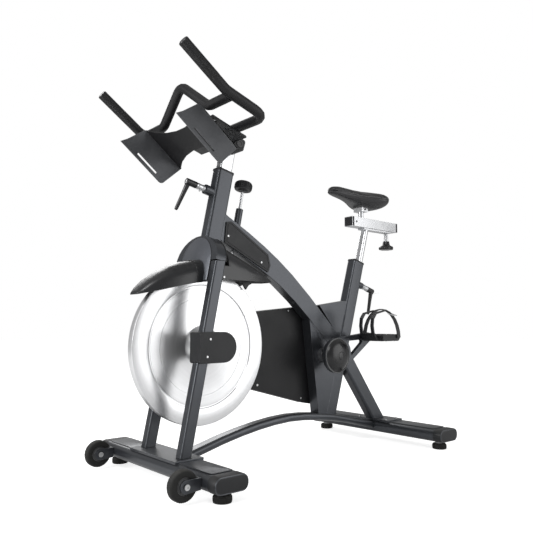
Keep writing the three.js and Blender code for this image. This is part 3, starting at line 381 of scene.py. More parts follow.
def cleanCopy(node, name):
    mesh = nodes[node].data.copy()
    mesh.name = name
    mesh.materials.clear()
    work = bmesh.new()
    work.from_mesh(mesh)
    joinFaces(work)
    work.to_mesh(mesh)
    work.free()
    for layer in list(mesh.attributes):
        if layer.name in ("custom_normal", "sharp_edge", "sharp_face"):
            mesh.attributes.remove(layer)
    return newObject(name, mesh)


# A copy of a node with its corners eased, standing for that node.
def eased(node, name, finish, width=1.0, rows=2, corner=32, crease=35):
    obj = cleanCopy(node, name)
    ease = obj.modifiers.new("ease", "BEVEL")
    ease.width = width / 1000
    ease.segments = rows
    ease.limit_method = "ANGLE"
    ease.angle_limit = math.radians(corner)
    ease.use_clamp_overlap = False
    ease.miter_outer = "MITER_ARC"
    settle(obj)
    obj.data.shade_smooth()
    obj.data.set_sharp_from_angle(angle=math.radians(crease))
    flat = obj.modifiers.new("flatFaces", "WEIGHTED_NORMAL")
    flat.keep_sharp = True
    settle(obj)
    return finishPiece(obj, bodyOf[node], finish, (node,), None)


# Gives the faces that a test picks another finish.
def repaint(obj, finish, test):
    obj.data.materials.append(material[finish])
    index = len(obj.data.materials) - 1
    for face in obj.data.polygons:
        if test(face.center):
            face.material_index = index


def meshFrom(name, points, faces):
    mesh = bpy.data.meshes.new(name)
    mesh.from_pydata([tuple(p) for p in points], [], faces)
    mesh.validate()
    return newObject(name, mesh)


# Turns faces outwards, after points closer than a distance are merged.
def faceOut(obj, weld=0):
    work = bmesh.new()
    work.from_mesh(obj.data)
    if weld:
        bmesh.ops.remove_doubles(work, verts=work.verts, dist=weld)
    bmesh.ops.recalc_face_normals(work, faces=work.faces)
    work.to_mesh(obj.data)
    work.free()
    return obj


# A skin over loops of equal count: capped at both ends, or closed into a ring.
def skinned(name, loops, ring=False):
    count = len(loops[0])
    rows = len(loops)
    faces = []
    for row in range(rows if ring else rows - 1):
        above = (row + 1) % rows
        for k in range(count):
            n = (k + 1) % count
            faces.append((row * count + k, row * count + n, above * count + n, above * count + k))
    if not ring:
        faces += [tuple(range(count))[::-1], tuple((rows - 1) * count + k for k in range(count))]
    return meshFrom(name, [p for loop in loops for p in loop], faces)


# Axes across a direction, for round pieces.
def acrossAxes(axis):
    axis = axis.normalized()
    side = axis.cross(Vector((0, 0, 1)) if abs(axis.z) < 0.9 else Vector((1, 0, 0))).normalized()
    return axis, side, axis.cross(side).normalized()


# A closed turned shape: profile pairs are radius and distance along the axis, in mm.
def turnedPiece(name, profile, base, axis, steps=96, closed=False):
    axis, side, up = acrossAxes(Vector(axis))
    points = []
    rows = []
    for radius, along in profile:
        middle = base + axis * along / 1000
        if radius < 1e-6:
            rows.append([len(points)])
            points.append(middle)
            continue
        rows.append(list(range(len(points), len(points) + steps)))
        for k in range(steps):
            a = 2 * math.pi * k / steps
            points.append(middle + (side * math.cos(a) + up * math.sin(a)) * radius / 1000)
    faces = []
    pairs = list(zip(rows, rows[1:]))
    if closed:
        pairs.append((rows[-1], rows[0]))
    for low, high in pairs:
        for k in range(steps):
            n = (k + 1) % steps
            if len(low) == 1 and len(high) == 1:
                continue
            if len(low) == 1:
                faces.append((low[0], high[k], high[n]))
            elif len(high) == 1:
                faces.append((low[k], high[0], low[n]))
            else:
                faces.append((low[k], high[k], high[n], low[n]))
    return faceOut(meshFrom(name, points, faces), 1e-6)


def roundedLoop(width, height, corner, steps=8):
    loop = []
    for cx, cz, start in ((1, 1, 0), (-1, 1, 90), (-1, -1, 180), (1, -1, 270)):
        for k in range(steps + 1):
            a = math.radians(start + 90 * k / steps)
            loop.append((cx * (width / 2 - corner) + corner * math.cos(a),
                         cz * (height / 2 - corner) + corner * math.sin(a)))
    return loop


# Ends a geometry tree: real meshes in the finish it is given.
def endTree(tree, given, end, made):
    real = addNode(tree, "GeometryNodeRealizeInstances", {0: made})
    paint = addNode(tree, "GeometryNodeSetMaterial", {
        "Geometry": real.outputs[0], "Material": given["Finish"]})
    tree.links.new(paint.outputs[0], end[0])
    return tree


def readVector(tree, name):
    node = addNode(tree, "GeometryNodeInputNamedAttribute", {"Name": name}, data_type="FLOAT_VECTOR")
    return node.outputs["Attribute"]


# A socket screw on every point, standing along the point's facing.
def buildScrews():
    tree, given, end = newTree(
        "socketScrews", "GeometryNodeTree",
        [("Geometry", "NodeSocketGeometry", None), ("Head Radius", "NodeSocketFloat", 0.005),
         ("Head Height", "NodeSocketFloat", 0.002), ("Socket Radius", "NodeSocketFloat", 0.0022),
         ("Finish", "NodeSocketMaterial", None)],
        [("Geometry", "NodeSocketGeometry")])
    rim = addNode(tree, "GeometryNodeCurvePrimitiveCircle", {
        "Resolution": 28, "Radius": given["Head Radius"]})
    hexagon = addNode(tree, "GeometryNodeCurvePrimitiveCircle", {
        "Resolution": 6, "Radius": given["Socket Radius"]})
    outline = addNode(tree, "GeometryNodeJoinGeometry")
    for curve in (hexagon, rim):
        tree.links.new(curve.outputs["Curve"], outline.inputs[0])
    face = addNode(tree, "GeometryNodeFillCurve", {"Curve": outline.outputs[0]})
    body = addNode(tree, "GeometryNodeExtrudeMesh", {
        "Individual": False, "Mesh": face.outputs["Mesh"], "Offset Scale": given["Head Height"]})
    floorDisc = addNode(tree, "GeometryNodeMeshCircle", {
        "Vertices": 6, "Radius": given["Socket Radius"]}, fill_type="NGON")
    raised = addNode(tree, "ShaderNodeCombineXYZ", {"Z": times(tree, given["Head Height"], 0.25)})
    lift = addNode(tree, "GeometryNodeTransform", {
        "Geometry": floorDisc.outputs["Mesh"], "Translation": raised.outputs[0]})
    head = addNode(tree, "GeometryNodeJoinGeometry")
    for part in (lift.outputs[0], body.outputs["Mesh"]):
        tree.links.new(part, head.inputs[0])
    turn = addNode(tree, "FunctionNodeAlignRotationToVector", {"Vector": readVector(tree, "facing")},
                   axis="Z")
    onPoints = addNode(tree, "GeometryNodeInstanceOnPoints", {
        "Points": given["Geometry"], "Instance": head.outputs[0], "Rotation": turn.outputs[0]})
    return endTree(tree, given, end, onPoints.outputs[0])


# A swept rib on every edge chain: rings round a grip, stitches along a seam.
def buildSweep():
    tree, given, end = newTree(
        "sweptRibs", "GeometryNodeTree",
        [("Geometry", "NodeSocketGeometry", None), ("Rib Radius", "NodeSocketFloat", 0.0005),
         ("Rib Sides", "NodeSocketInt", 6), ("Finish", "NodeSocketMaterial", None)],
        [("Geometry", "NodeSocketGeometry")])
    path = addNode(tree, "GeometryNodeMeshToCurve", {"Mesh": given["Geometry"]})
    section = addNode(tree, "GeometryNodeCurvePrimitiveCircle", {
        "Resolution": given["Rib Sides"], "Radius": given["Rib Radius"]})
    sweep = addNode(tree, "GeometryNodeCurveToMesh", {
        "Curve": path.outputs["Curve"], "Profile Curve": section.outputs["Curve"], "Fill Caps": True})
    return endTree(tree, given, end, sweep.outputs["Mesh"])


# A rounded bar on every point, set along its facing: teeth, lugs and tread ribs.
def buildLugs():
    tree, given, end = newTree(
        "raisedLugs", "GeometryNodeTree",
        [("Geometry", "NodeSocketGeometry", None), ("Lug Size", "NodeSocketVector", (0.002, 0.01, 0.001)),
         ("Seed", "NodeSocketInt", 3), ("Finish", "NodeSocketMaterial", None)],
        [("Geometry", "NodeSocketGeometry")])
    lug = addNode(tree, "GeometryNodeMeshCube", {"Size": given["Lug Size"]})
    soft = addNode(tree, "GeometryNodeSubdivisionSurface", {
        "Mesh": lug.outputs["Mesh"], "Level": 1, "Edge Crease": 0.75})
    turn = addNode(tree, "FunctionNodeAlignRotationToVector", {"Vector": readVector(tree, "facing")},
                   axis="Z")
    turnMore = addNode(tree, "FunctionNodeAlignRotationToVector", {
        "Rotation": turn.outputs[0], "Vector": readVector(tree, "along")}, axis="Y", pivot_axis="Z")
    jitter = addNode(tree, "FunctionNodeRandomValue", {2: 0.97, 3: 1.03, "Seed": given["Seed"]},
                     data_type="FLOAT")
    onPoints = addNode(tree, "GeometryNodeInstanceOnPoints", {
        "Points": given["Geometry"], "Instance": soft.outputs["Mesh"],
        "Rotation": turnMore.outputs[0], "Scale": jitter.outputs[1]})
    return endTree(tree, given, end, onPoints.outputs[0])


screwTree = buildScrews()
sweepTree = buildSweep()
lugTree = buildLugs()


# Runs a tree over a base mesh and keeps the plain result.
def growOn(obj, tree, values):
    grow = obj.modifiers.new("grow", "NODES")
    grow.node_group = tree
    for item in tree.interface.items_tree:
        if item.in_out == "INPUT" and item.name in values:
            grow[item.identifier] = values[item.name]
    return settle(obj)


def pointMesh(name, places, facings, alongs=None):
    obj = meshFrom(name, places, [])
    for label, vectors in (("facing", facings), ("along", alongs)):
        if vectors:
            layer = obj.data.attributes.new(label, "FLOAT_VECTOR", "POINT")
            layer.data.foreach_set("vector", [c for v in vectors for c in v])
    return obj


def addScrews(name, body, screws, radius, height, finish="darkScrew"):
    obj = pointMesh(name, [p for p, n in screws], [Vector(n).normalized() for p, n in screws])
    growOn(obj, screwTree, {
        "Head Radius": radius / 1000, "Head Height": height / 1000,
        "Socket Radius": radius * 0.45 / 1000, "Finish": material[finish]})
    return finishPiece(obj, body, finish, crease=30)


def addLugs(name, body, lugs, size, finish):
    obj = pointMesh(name, [p for p, n, a in lugs], [n for p, n, a in lugs], [a for p, n, a in lugs])
    growOn(obj, lugTree, {"Lug Size": tuple(v / 1000 for v in size), "Seed": 5, "Finish": material[finish]})
    return finishPiece(obj, body, finish)


# A rib along every list of points, where a closed one joins its ends.
def addRibs(name, body, chains, radius, finish, sides=6, closed=True):
    points = []
    edges = []
    for chain in chains:
        first = len(points)
        points.extend(chain)
        edges += [(first + k, first + k + 1) for k in range(len(chain) - 1)]
        if closed:
            edges.append((first + len(chain) - 1, first))
    mesh = bpy.data.meshes.new(name)
    mesh.from_pydata([tuple(p) for p in points], edges, [])
    obj = newObject(name, mesh)
    growOn(obj, sweepTree, {"Rib Radius": radius / 1000, "Rib Sides": sides, "Finish": material[finish]})
    return finishPiece(obj, body, finish, crease=60)


def ringPoints(centre, axis, radius, steps=48):
    axis, side, up = acrossAxes(Vector(axis))
    return [centre + (side * math.cos(2 * math.pi * k / steps) + up * math.sin(2 * math.pi * k / steps))
            * radius / 1000 for k in range(steps)]


# Camera, floor and light.
studio = {
    "eye": (-1.31046, -1.41349, 0.42216), "pitch": 5.57, "heading": -40.844, "lens": 39.42,
    "floor": (0.80, 0.80, 0.80), "glow": 0.74, "bounce": 0.06, "backdrop": 1.0, "sky": 0.34,
}


def makeStudio(s):
    camera = bpy.data.objects.new("camera", bpy.data.cameras.new("camera"))
    camera.location = s["eye"]
    camera.rotation_euler = (math.radians(90 + s["pitch"]), 0, math.radians(s["heading"]))
    camera.data.lens = s["lens"]
    camera.data.sensor_width = 36
    camera.data.clip_end = 60
    scene.collection.objects.link(camera)
    scene.camera = camera

    floor = meshFrom("floor", [(-14, -14, 0), (14, -14, 0), (14, 14, 0), (-14, 14, 0)], [(0, 1, 2, 3)])
    pale = bpy.data.materials.new("paleFloor")
    pale.use_nodes = True
    shader = pale.node_tree.nodes["Principled BSDF"]
    shader.inputs["Roughness"].default_value = 0.9
    tree = pale.node_tree
    noise = addNode(tree, "ShaderNodeTexNoise", {"Scale": 40.0})
    tone = addNode(tree, "ShaderNodeMix", {
        "Factor": noise.outputs["Fac"], "A": rgb(s["floor"]), "B": rgb(tuple(c * 1.02 for c in s["floor"]))},
        data_type="RGBA")
    tree.links.new(tone.outputs["Result"], shader.inputs["Base Color"])
    shader.inputs["Emission Color"].default_value = (1, 1, 1, 1)
    path = addNode(tree, "ShaderNodeLightPath")
    seen = addNode(tree, "ShaderNodeMapRange", {
        "Value": path.outputs["Is Camera Ray"], "To Min": s["bounce"], "To Max": s["glow"]})
    tree.links.new(seen.outputs["Result"], shader.inputs["Emission Strength"])
    floor.data.materials.append(pale)

    world = bpy.data.worlds.new("studio")
    scene.world = world
    world.use_nodes = True
    tree = world.node_tree
    sky = tree.nodes["Background"]
    sky.inputs["Color"].default_value = (1, 1, 1, 1)
    sky.inputs["Strength"].default_value = s["sky"]
    backdrop = addNode(tree, "ShaderNodeBackground", {"Color": (1, 1, 1, 1), "Strength": s["backdrop"]})
    path = addNode(tree, "ShaderNodeLightPath")
    choose = addNode(tree, "ShaderNodeMixShader", {
        0: path.outputs["Is Camera Ray"], 1: sky.outputs[0], 2: backdrop.outputs[0]})
    tree.links.new(choose.outputs[0], tree.nodes["World Output"].inputs["Surface"])
    for name, place, aim, size, power in (
        ("keyLight", (-2.4, -1.6, 3.0), (0, 0, 0.5), 1.4, 46),
        ("wheelLight", (1.9, -2.9, 0.9), (-0.3, 0, 0.4), 2.6, 42),
        ("frontLight", (-3.4, 0.5, 1.3), (0, 0, 0.5), 1.5, 62),
        ("backLight", (0.9, 3.0, 2.4), (0, 0, 0.6), 1.8, 40),
    ):
        lamp = bpy.data.lights.new(name, "AREA")
        lamp.size = size
        lamp.energy = power
        obj = bpy.data.objects.new(name, lamp)
        obj.location = place
        obj.rotation_euler = (Vector(aim) - Vector(place)).to_track_quat("-Z", "Y").to_euler()
        scene.collection.objects.link(obj)
    scene.view_settings.view_transform = "Standard"
    scene.view_settings.look = "None"


makeStudio(studio)
print("studio ready")

# Welded frame.
frameSet = {
    "front_stabilizer": ("frontStabilizer", "framePaint", 1.2),
    "rear_stabilizer": ("rearStabilizer", "framePaint", 1.2),
    "left_fork_leg": ("leftForkLeg", "framePaint", 1.0),
    "right_fork_leg": ("rightForkLeg", "framePaint", 1.0),
    "fork_crown": ("forkCrown", "framePaint", 1.4),
    "head_post": ("headPost", "framePaint", 0.8),
    "main_beam": ("mainBeam", "framePaint", 1.4),
    "seat_tube": ("seatTube", "framePaint", 0.8),
    "seat_gusset": ("seatGusset", "framePaint", 0.8),
    "bracket_housing": ("bracketHousing", "framePaint", 1.0),
    "rear_leg": ("rearLeg", "framePaint", 1.2),
    "lower_tube": ("lowerTube", "framePaint", 1.0),
    "left_wheel_bracket": ("leftWheelBracket", "framePaint", 0.8),
    "right_wheel_bracket": ("rightWheelBracket", "framePaint", 0.8),
    "beam_cover_left": ("beamCoverLeft", "mouldedBlack", 0.8),
    "beam_cover_right": ("beamCoverRight", "mouldedBlack", 0.8),
    "front_fender": ("frontFender", "fenderBlack", 1.2),
    "rear_fender": ("rearFender", "fenderBlack", 1.2),
    "belt_guard_inner": ("beltGuardInner", "guardBlackAndShade", 0.8),
    "belt_guard_outer": ("beltGuardOuter", "guardBlackAndShade", 1.0),
    "left_axle_block": ("leftAxleBlock", "mouldedBlack", 1.6),
    "right_axle_block": ("rightAxleBlock", "mouldedBlack", 1.6),
}
for node, (name, finish, width) in frameSet.items():
    eased(node, name, finish, width)
for node, finish in (
    ("left_axle_bearing", "plainSteel"), ("right_axle_bearing", "plainSteel"),
    ("bottom_bracket_shell", "plainSteel"), ("drive_belt", "beltRubber"),
    ("flywheel_axle", "plainSteel"), ("flywheel_pulley", "plainSteel"),
    ("drive_pulley", "plainSteel"), ("crank_spindle", "plainSteel"),
):
    for place in nodes[node].material_slots:
        place.material = material[finish]
print("frame pieces ready")

# Moving pieces that keep their shape.
movingSet = {
    "left_crank": ("leftCrank", "framePaint", 1.2),
    "right_crank": ("rightCrank", "framePaint", 1.2),
    "left_toe_cage": ("leftToeCage", "mouldedBlack", 0.6),
    "right_toe_cage": ("rightToeCage", "mouldedBlack", 0.6),
    "left_pedal": ("leftPedal", "mouldedBlack", 1.0),
    "right_pedal": ("rightPedal", "mouldedBlack", 1.0),
    "handlebar": ("outerBar", "barRubber", 0.8),
    "inner_bar": ("innerBar", "barRubber", 0.6),
    "handlebar_stem": ("barStem", "postSilver", 0.6),
    "head_clamp": ("headClamp", "mouldedBlack", 1.2),
    "accessory_cradle": ("accessoryCradle", "sheetGrey", 0.7),
    "brake_rod": ("brakeRod", "postSilver", 0.4),
    "brake_caliper": ("brakeCaliper", "mouldedBlack", 0.8),
    "front_clamp_lever": ("frontClampLever", "glossBlack", 0.8),
    "rear_clamp_lever": ("rearClampLever", "glossBlack", 0.8),
    "seat_post": ("seatPost", "postSilver", 0.7),
    "saddle_slider": ("saddleRail", "satinSilver", 0.8),
}
made = {}
for node, (name, finish, width) in movingSet.items():
    made[node] = eased(node, name, finish, width)
print("moving pieces ready")

# Flywheel: a turned disc with stepped faces.
flywheelSet = {
    "centre": spot(111, 0, 357), "rim": 225, "half": 12, "face": 9, "hub": 20, "hubRadius": 46,
    "bore": 10.3, "grooves": (140, 170.5), "grooveDepth": 1.3, "grooveWidth": 2.6,
}


def turnFlywheel(s):
    side = [(s["bore"], s["hub"]), (s["hubRadius"] - 3, s["hub"]), (s["hubRadius"] - 1, s["hub"] - 0.4),
            (s["hubRadius"], s["hub"] - 1.6), (58, s["face"] + 0.8), (61, s["face"])]
    for radius in s["grooves"]:
        half = s["grooveWidth"] / 2
        side += [(radius - half, s["face"]), (radius - half + 0.5, s["face"] - s["grooveDepth"]),
                 (radius + half - 0.5, s["face"] - s["grooveDepth"]), (radius + half, s["face"])]
    side += [(173.4, s["face"]), (175, s["face"] + 0.3), (177, s["half"] - 0.4), (178.5, s["half"]),
             (s["rim"] - 3, s["half"]), (s["rim"] - 1.2, s["half"] - 0.5), (s["rim"] - 0.2, s["half"] - 1.8)]
    profile = side + [(s["rim"], s["half"] - 3), (s["rim"], 0)]
    profile += [(r, -y) for r, y in reversed(profile[:-1])]
    wheel = turnedPiece("flywheelDisc", profile, s["centre"], (0, 1, 0), 160, closed=True)
    finishPiece(wheel, "flywheel_set", "turnedSteel", ("flywheel",), 24)
    bolts = []
    for sign in (-1, 1):
        for k in range(6):
            a = math.radians(30 + 60 * k)
            bolts.append((s["centre"] + Vector((0.031 * math.cos(a), sign * s["hub"] / 1000,
                                                0.031 * math.sin(a))), (0, sign, 0)))
    addScrews("flywheelHubScrews", "flywheel_set", bolts, 4.6, 2.4, "zincScrew")


turnFlywheel(flywheelSet)
print("flywheel turned")

# Transport wheels: a ribbed tyre on a grey hub.
wheelSet = {
    "radius": 38, "half": 12, "bore": 5.3, "ribs": 44,
    "sides": {"left": -225, "right": 225}, "x": -90, "z": 46,
}


def makeWheels(s):
    for side, y in s["sides"].items():
        centre = spot(s["x"], y, s["z"])
        r, h = s["radius"], s["half"]
        half = [(s["bore"], h - 3), (9, h - 3), (9.6, h - 1.4), (15, h - 1.4), (16, h - 2.6),
                (20, h - 2.6), (21, h - 0.6), (r - 7, h), (r - 4, h - 0.8), (r - 1.6, h - 3),
                (r - 0.5, h - 5.6)]
        profile = half + [(r - 0.3, 0)] + [(a, -b) for a, b in reversed(half)]
        tyre = turnedPiece(side + "TransportTyre", profile, centre, (0, 1, 0), 72, closed=True)
        finishPiece(tyre, side + "_wheel", "tyreRubber", (side + "_transport_wheel",), 35)
        repaint(tyre, "hubGrey", lambda c: math.hypot(c.x - centre.x, c.z - centre.z) < 0.0205)
        lugs = []
        for k in range(s["ribs"]):
            a = 2 * math.pi * k / s["ribs"]
            out = Vector((math.cos(a), 0, math.sin(a)))
            lugs.append((centre + out * (r - 0.75) / 1000, out, Vector((0, 1, 0))))
        addLugs(side + "TyreRibs", side + "_wheel", lugs, (2.2, 17, 1.2), "tyreRubber")
        bolts = [(centre + Vector((0, sign * 0.0205, 0)), (0, sign, 0)) for sign in (-1, 1)]
        addScrews(side + "WheelBolts", "frame", bolts, 7.2, 2.4, "zincScrew")


makeWheels(wheelSet)
print("transport wheels ready")

# Levelling feet: knurled pads with a threaded neck.
footSet = {
    "radius": 24, "pad": 18, "neck": 12, "top": 27.7, "knurls": 40,
    "places": {"front_left": (0, -261), "front_right": (0, 261),
               "rear_left": (914, -261), "rear_right": (914, 261)},
}


def makeFeet(s):
    for name, (x, y) in s["places"].items():
        base = spot(x, y, 0)
        r, p = s["radius"], s["pad"]
        profile = [(0, 0), (r - 3.5, 0), (r - 1.4, 0.6), (r - 0.9, 2.4), (r - 0.9, p - 4), (r - 1.6, p - 2),
                   (r - 4, p), (s["neck"] + 1.5, p + 0.6), (s["neck"], p + 1.2), (s["neck"], s["top"]),
                   (0, s["top"])]
        words = name.split("_")
        label = words[0] + words[1].capitalize()
        foot = turnedPiece(label + "Foot", profile, base, (0, 0, 1), 64)
        body = "foot_" + name
        finishPiece(foot, body, "tyreRubber", (name + "_foot",), 35)
        repaint(foot, "plainSteel", lambda c: c.z > (p + 0.9) / 1000
                and math.hypot(c.x - base.x, c.y - base.y) < 0.0128)
        lugs = []
        for k in range(s["knurls"]):
            a = 2 * math.pi * k / s["knurls"]
            out = Vector((math.cos(a), math.sin(a), 0))
            lugs.append((base + out * (r - 0.95) / 1000 + Vector((0, 0, 0.009)), out, Vector((0, 0, 1))))
        addLugs(label + "FootKnurls", body, lugs, (1.8, 11, 1.6), "tyreRubber")


makeFeet(footSet)
print("feet ready")

# Resistance knob: lobed rim over a hollow underside.
knobSet = {"x": 97.4, "rake": 0.2, "base": 834, "radius": 29, "flutes": 22}


def makeKnob(s):
    axis = Vector((s["rake"], 0, 1)).normalized()
    base = spot(s["x"] + s["rake"] * s["base"], 0, s["base"])
    r = s["radius"]
    profile = [(4.8, 0), (13.2, 0), (14.2, 1), (15.6, 4.6), (r - 5.5, 4.6), (r - 3.4, 5), (r - 2.4, 6.4),
               (r - 2.0, 9), (r - 2.0, 25), (r - 3.2, 28), (r - 6.5, 30.6), (r - 12, 32), (10, 32.4),
               (9, 31.6), (0, 31.4), (0, 9), (4.8, 9)]
    knob = turnedPiece("resistanceKnob", profile, base, axis, 88, closed=True)
    finishPiece(knob, "brake_knob", "mouldedBlack", ("resistance_knob",), 35)
    axis, side, up = acrossAxes(axis)
    lugs = []
    for k in range(s["flutes"]):
        a = 2 * math.pi * k / s["flutes"]
        out = side * math.cos(a) + up * math.sin(a)
        lugs.append((base + out * (r - 2.2) / 1000 + axis * 0.0168, out, axis))
    addLugs("resistanceKnobFlutes", "brake_knob", lugs, (4.6, 17.5, 3.6), "mouldedBlack")


makeKnob(knobSet)

# Star knob under the rail.
starSet = {"x": 985, "base": 709.4, "lobes": 7, "radius": 30}


def makeStar(s):
    base = spot(s["x"], 0, s["base"])
    rings = [(0.2, 22, 0.0), (0.0, 25.5, 0.7), (1.4, 27.6, 1.0), (4.0, 28.6, 1.0), (8.5, 28.6, 1.0),
             (11.4, 27.0, 0.9), (13.6, 22, 0.5), (17.4, 15.6, 0.1), (24, 13.4, 0.0),
             (31.6, 12.6, 0.0), (32.4, 11.8, 0.0)]
    steps = s["lobes"] * 16
    loops = []
    for z, r, lobe in rings:
        loops.append([])
        for k in range(steps):
            a = 2 * math.pi * k / steps
            reach = r - lobe * 3.4 * (0.5 + 0.5 * math.cos(a * s["lobes"])) ** 1.6
            loops[-1].append(base + Vector((reach * math.cos(a), reach * math.sin(a), z)) / 1000)
    star = skinned("railKnob", loops)
    finishPiece(star, "rail_knob", "glossBlack", ("slider_knob",), 40)
    stem = turnedPiece("railKnobStem", [(0, 31.8), (9.2, 31.8), (9.2, 35), (7.6, 35.8), (7.6, 62.4),
                                        (6.9, 63), (5.3, 63.4), (5.3, 69.6), (4.6, 70), (0, 70)],
                       base, (0, 0, 1), 48)
    finishPiece(stem, "rail_knob", "satinSilver", (), 35)
    threads = [ringPoints(base + Vector((0, 0, (37.5 + 1.5 * k) / 1000)), (0, 0, 1), 7.6) for k in range(17)]
    addRibs("railKnobThread", "rail_knob", threads, 0.42, "satinSilver")


makeStar(starSet)
print("knobs ready")

# Saddle: a padded top over a smooth shell.
saddleSet = {"voxel": 0.0045, "pressure": 2.2, "most": 0.004, "shrink": 0.0012, "stiffness": 30, "steps": 20}


def padSaddle(s):
    pad = cleanCopy("saddle", "saddlePad")
    rework = pad.modifiers.new("rework", "REMESH")
    rework.mode = "VOXEL"
    rework.voxel_size = s["voxel"]
    settle(pad)
    mesh = pad.data
    mesh.calc_loop_triangles()
    for vert in mesh.vertices:
        vert.co -= vert.normal * s["shrink"]
    low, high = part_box("saddle")
    before = [v.co.copy() for v in mesh.vertices]
    group = pad.vertex_groups.new(name="under")
    floor = low.z + (high.z - low.z) * 0.45
    group.add([v.index for v in mesh.vertices if v.normal.z < -0.25 and v.co.z < floor], 1.0, "REPLACE")
    cloth = pad.modifiers.new("stuffing", "CLOTH")
    cloth.settings.use_pressure = True
    cloth.settings.uniform_pressure_force = s["pressure"]
    cloth.settings.effector_weights.gravity = 0
    cloth.settings.quality = 5
    cloth.settings.vertex_group_mass = "under"
    cloth.settings.tension_stiffness = s["stiffness"]
    cloth.settings.compression_stiffness = s["stiffness"]
    for step in range(1, s["steps"] + 1):
        scene.frame_set(step)
    settle(pad)
    scene.frame_set(1)
    for vert, start in zip(pad.data.vertices, before):
        move = vert.co - start
        if move.length > s["most"]:
            vert.co = start + move.normalized() * s["most"]
    mesh = pad.data
    for vert in mesh.vertices:
        for k in range(3):
            vert.co[k] = min(max(vert.co[k], low[k]), high[k])
    finer = pad.modifiers.new("finer", "SUBSURF")
    finer.levels = 1
    finer.render_levels = 1
    settle(pad)
    for layer in list(pad.vertex_groups):
        pad.vertex_groups.remove(layer)
    finishPiece(pad, "saddle_unit", "saddleCover", ("saddle",), 180)
    return pad


saddlePad = padSaddle(saddleSet)
print("saddle padded")

# Saddle shell: a smooth bowl that holds the pad's lower half.
shellSet = {
    "stations": (  # x, half width, edge height, lowest height
        (663.5, 5, 897.5, 892), (666, 11, 896.8, 888.5), (672, 18.5, 896.2, 885.5), (700, 25.6, 895.5, 881),
        (740, 29.4, 894.0, 876.5), (780, 39.6, 890.5, 868.5), (820, 58.4, 886, 859.5),
        (860, 80.4, 883.5, 853.0), (890, 85.4, 883.5, 852.2), (912, 77.0, 884.5, 856.5),
        (926, 56.8, 887.5, 864.5), (931.5, 34.6, 890.5, 876)),
    "around": 22, "mount": {"x": (812, 858), "half": 22, "low": 856.4},
}


def makeShell(s):
    points, faces = [], []
    count = s["around"] + 1
    for x, half, edge, low in s["stations"]:
        for k in range(count):
            a = math.pi * k / s["around"]
            wide = half * (abs(math.cos(a)) ** 0.85) * (1 if math.cos(a) >= 0 else -1)
            points.append(spot(x, wide, edge - (edge - low) * math.sin(a) ** 0.9))
    for row in range(len(s["stations"]) - 1):
        for k in range(count - 1):
            here, above = row * count + k, (row + 1) * count + k
            faces.append((here, here + 1, above + 1, above))
    faces.append(tuple(range(count))[::-1])
    faces.append(tuple((len(s["stations"]) - 1) * count + k for k in range(count)))
    shell = faceOut(meshFrom("saddleShellBowl", points, faces), 0.00002)
    wall = shell.modifiers.new("wall", "SOLIDIFY")
    wall.thickness = 0.0022
    wall.offset = -1
    finer = shell.modifiers.new("finer", "SUBSURF")
    finer.levels = 2
    finer.render_levels = 2
    settle(shell)
    finishPiece(shell, "saddle_unit", "saddleShell", ("saddle_base",), 60)
    m = s["mount"]
    (x0, x1), half, low = m["x"], m["half"], m["low"]
    rim = roundedLoop(x1 - x0, 2 * half, 6, 6)
    loops = [[spot((x0 + x1) / 2 + u * (1 + grow / 24), v * (1 + grow / 24), z) for u, v in rim]
             for z, grow in ((low, -1.2), (low + 1.2, 0), (low + 12, 2.0))]
    boss = skinned("saddleMount", loops)
    finishPiece(boss, "saddle_unit", "saddleShell", (), 30)


makeShell(shellSet)

# Saddle seam: a piping line along the edge, with stitches beside it.
seamSet = {"piping": 0.9, "stitch": 0.45, "pitch": 0.0042, "gap": 0.0030, "edge": 0.0205, "slope": 0.0085}


def saddleOutline(obj, height, points=140):
    centre = sum((v.co for v in obj.data.vertices), Vector()) / len(obj.data.vertices)
    best = [None] * points
    for vert in obj.data.vertices:
        if abs(vert.co.z - height(vert.co.x)) > 0.0035:
            continue
        a = math.atan2((vert.co.y - centre.y) * 1.4, vert.co.x - centre.x)
        k = int((a + math.pi) / (2 * math.pi) * points) % points
        reach = math.hypot(vert.co.x - centre.x, vert.co.y - centre.y)
        if best[k] is None or reach > best[k][0]:
            best[k] = (reach, vert.co.copy())
    chain = [b[1] for b in best if b]
    for step in range(3):
        chain = [(chain[k - 1] + chain[k] * 2 + chain[(k + 1) % len(chain)]) / 4 for k in range(len(chain))]
    return chain


def sewSaddle(s, pad):
    low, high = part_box("saddle")
    long = high.x - low.x
    # The seam runs lower at the wide rear than at the nose.
    chain = saddleOutline(
        pad, lambda x: high.z - s["edge"] - s["slope"] * max(0.0, min(1.0, (x - low.x) / long)))
    addRibs("saddlePiping", "saddle_unit", [chain], s["piping"], "paleThread", sides=8)
    centre = sum(chain, Vector()) / len(chain)
    stitches = []
    walk = 0.0
    for k in range(len(chain)):
        here, after = chain[k], chain[(k + 1) % len(chain)]
        length = (after - here).length
        while walk < length:
            p = here.lerp(after, walk / max(length, 1e-9))
            along = (after - here).normalized()
            out = Vector((p.x - centre.x, p.y - centre.y, 0)).normalized()
            p = p + Vector((0, 0, s["gap"])) - out * 0.0004
            stitches.append([p - along * 0.0013, p + along * 0.0013])
            walk += s["pitch"]
        walk -= length
    addRibs("saddleStitches", "saddle_unit", stitches, s["stitch"], "paleThread", sides=6, closed=False)


sewSaddle(seamSet, saddlePad)
print("saddle sewn")

# Foot bars: moulded end caps and smooth raised tread plates.
barEndSet = {
    "width": 98, "height": 40, "bottom": 28, "corner": 18, "end": 299.6, "skin": 0.7,
    "seams": (268.0, 299.6), "bars": {"front": 0, "rear": 914},
    "tread": {"front": (126, 262), "rear": (84, 262)}, "treadHalf": 33, "treadTop": 70.2,
}


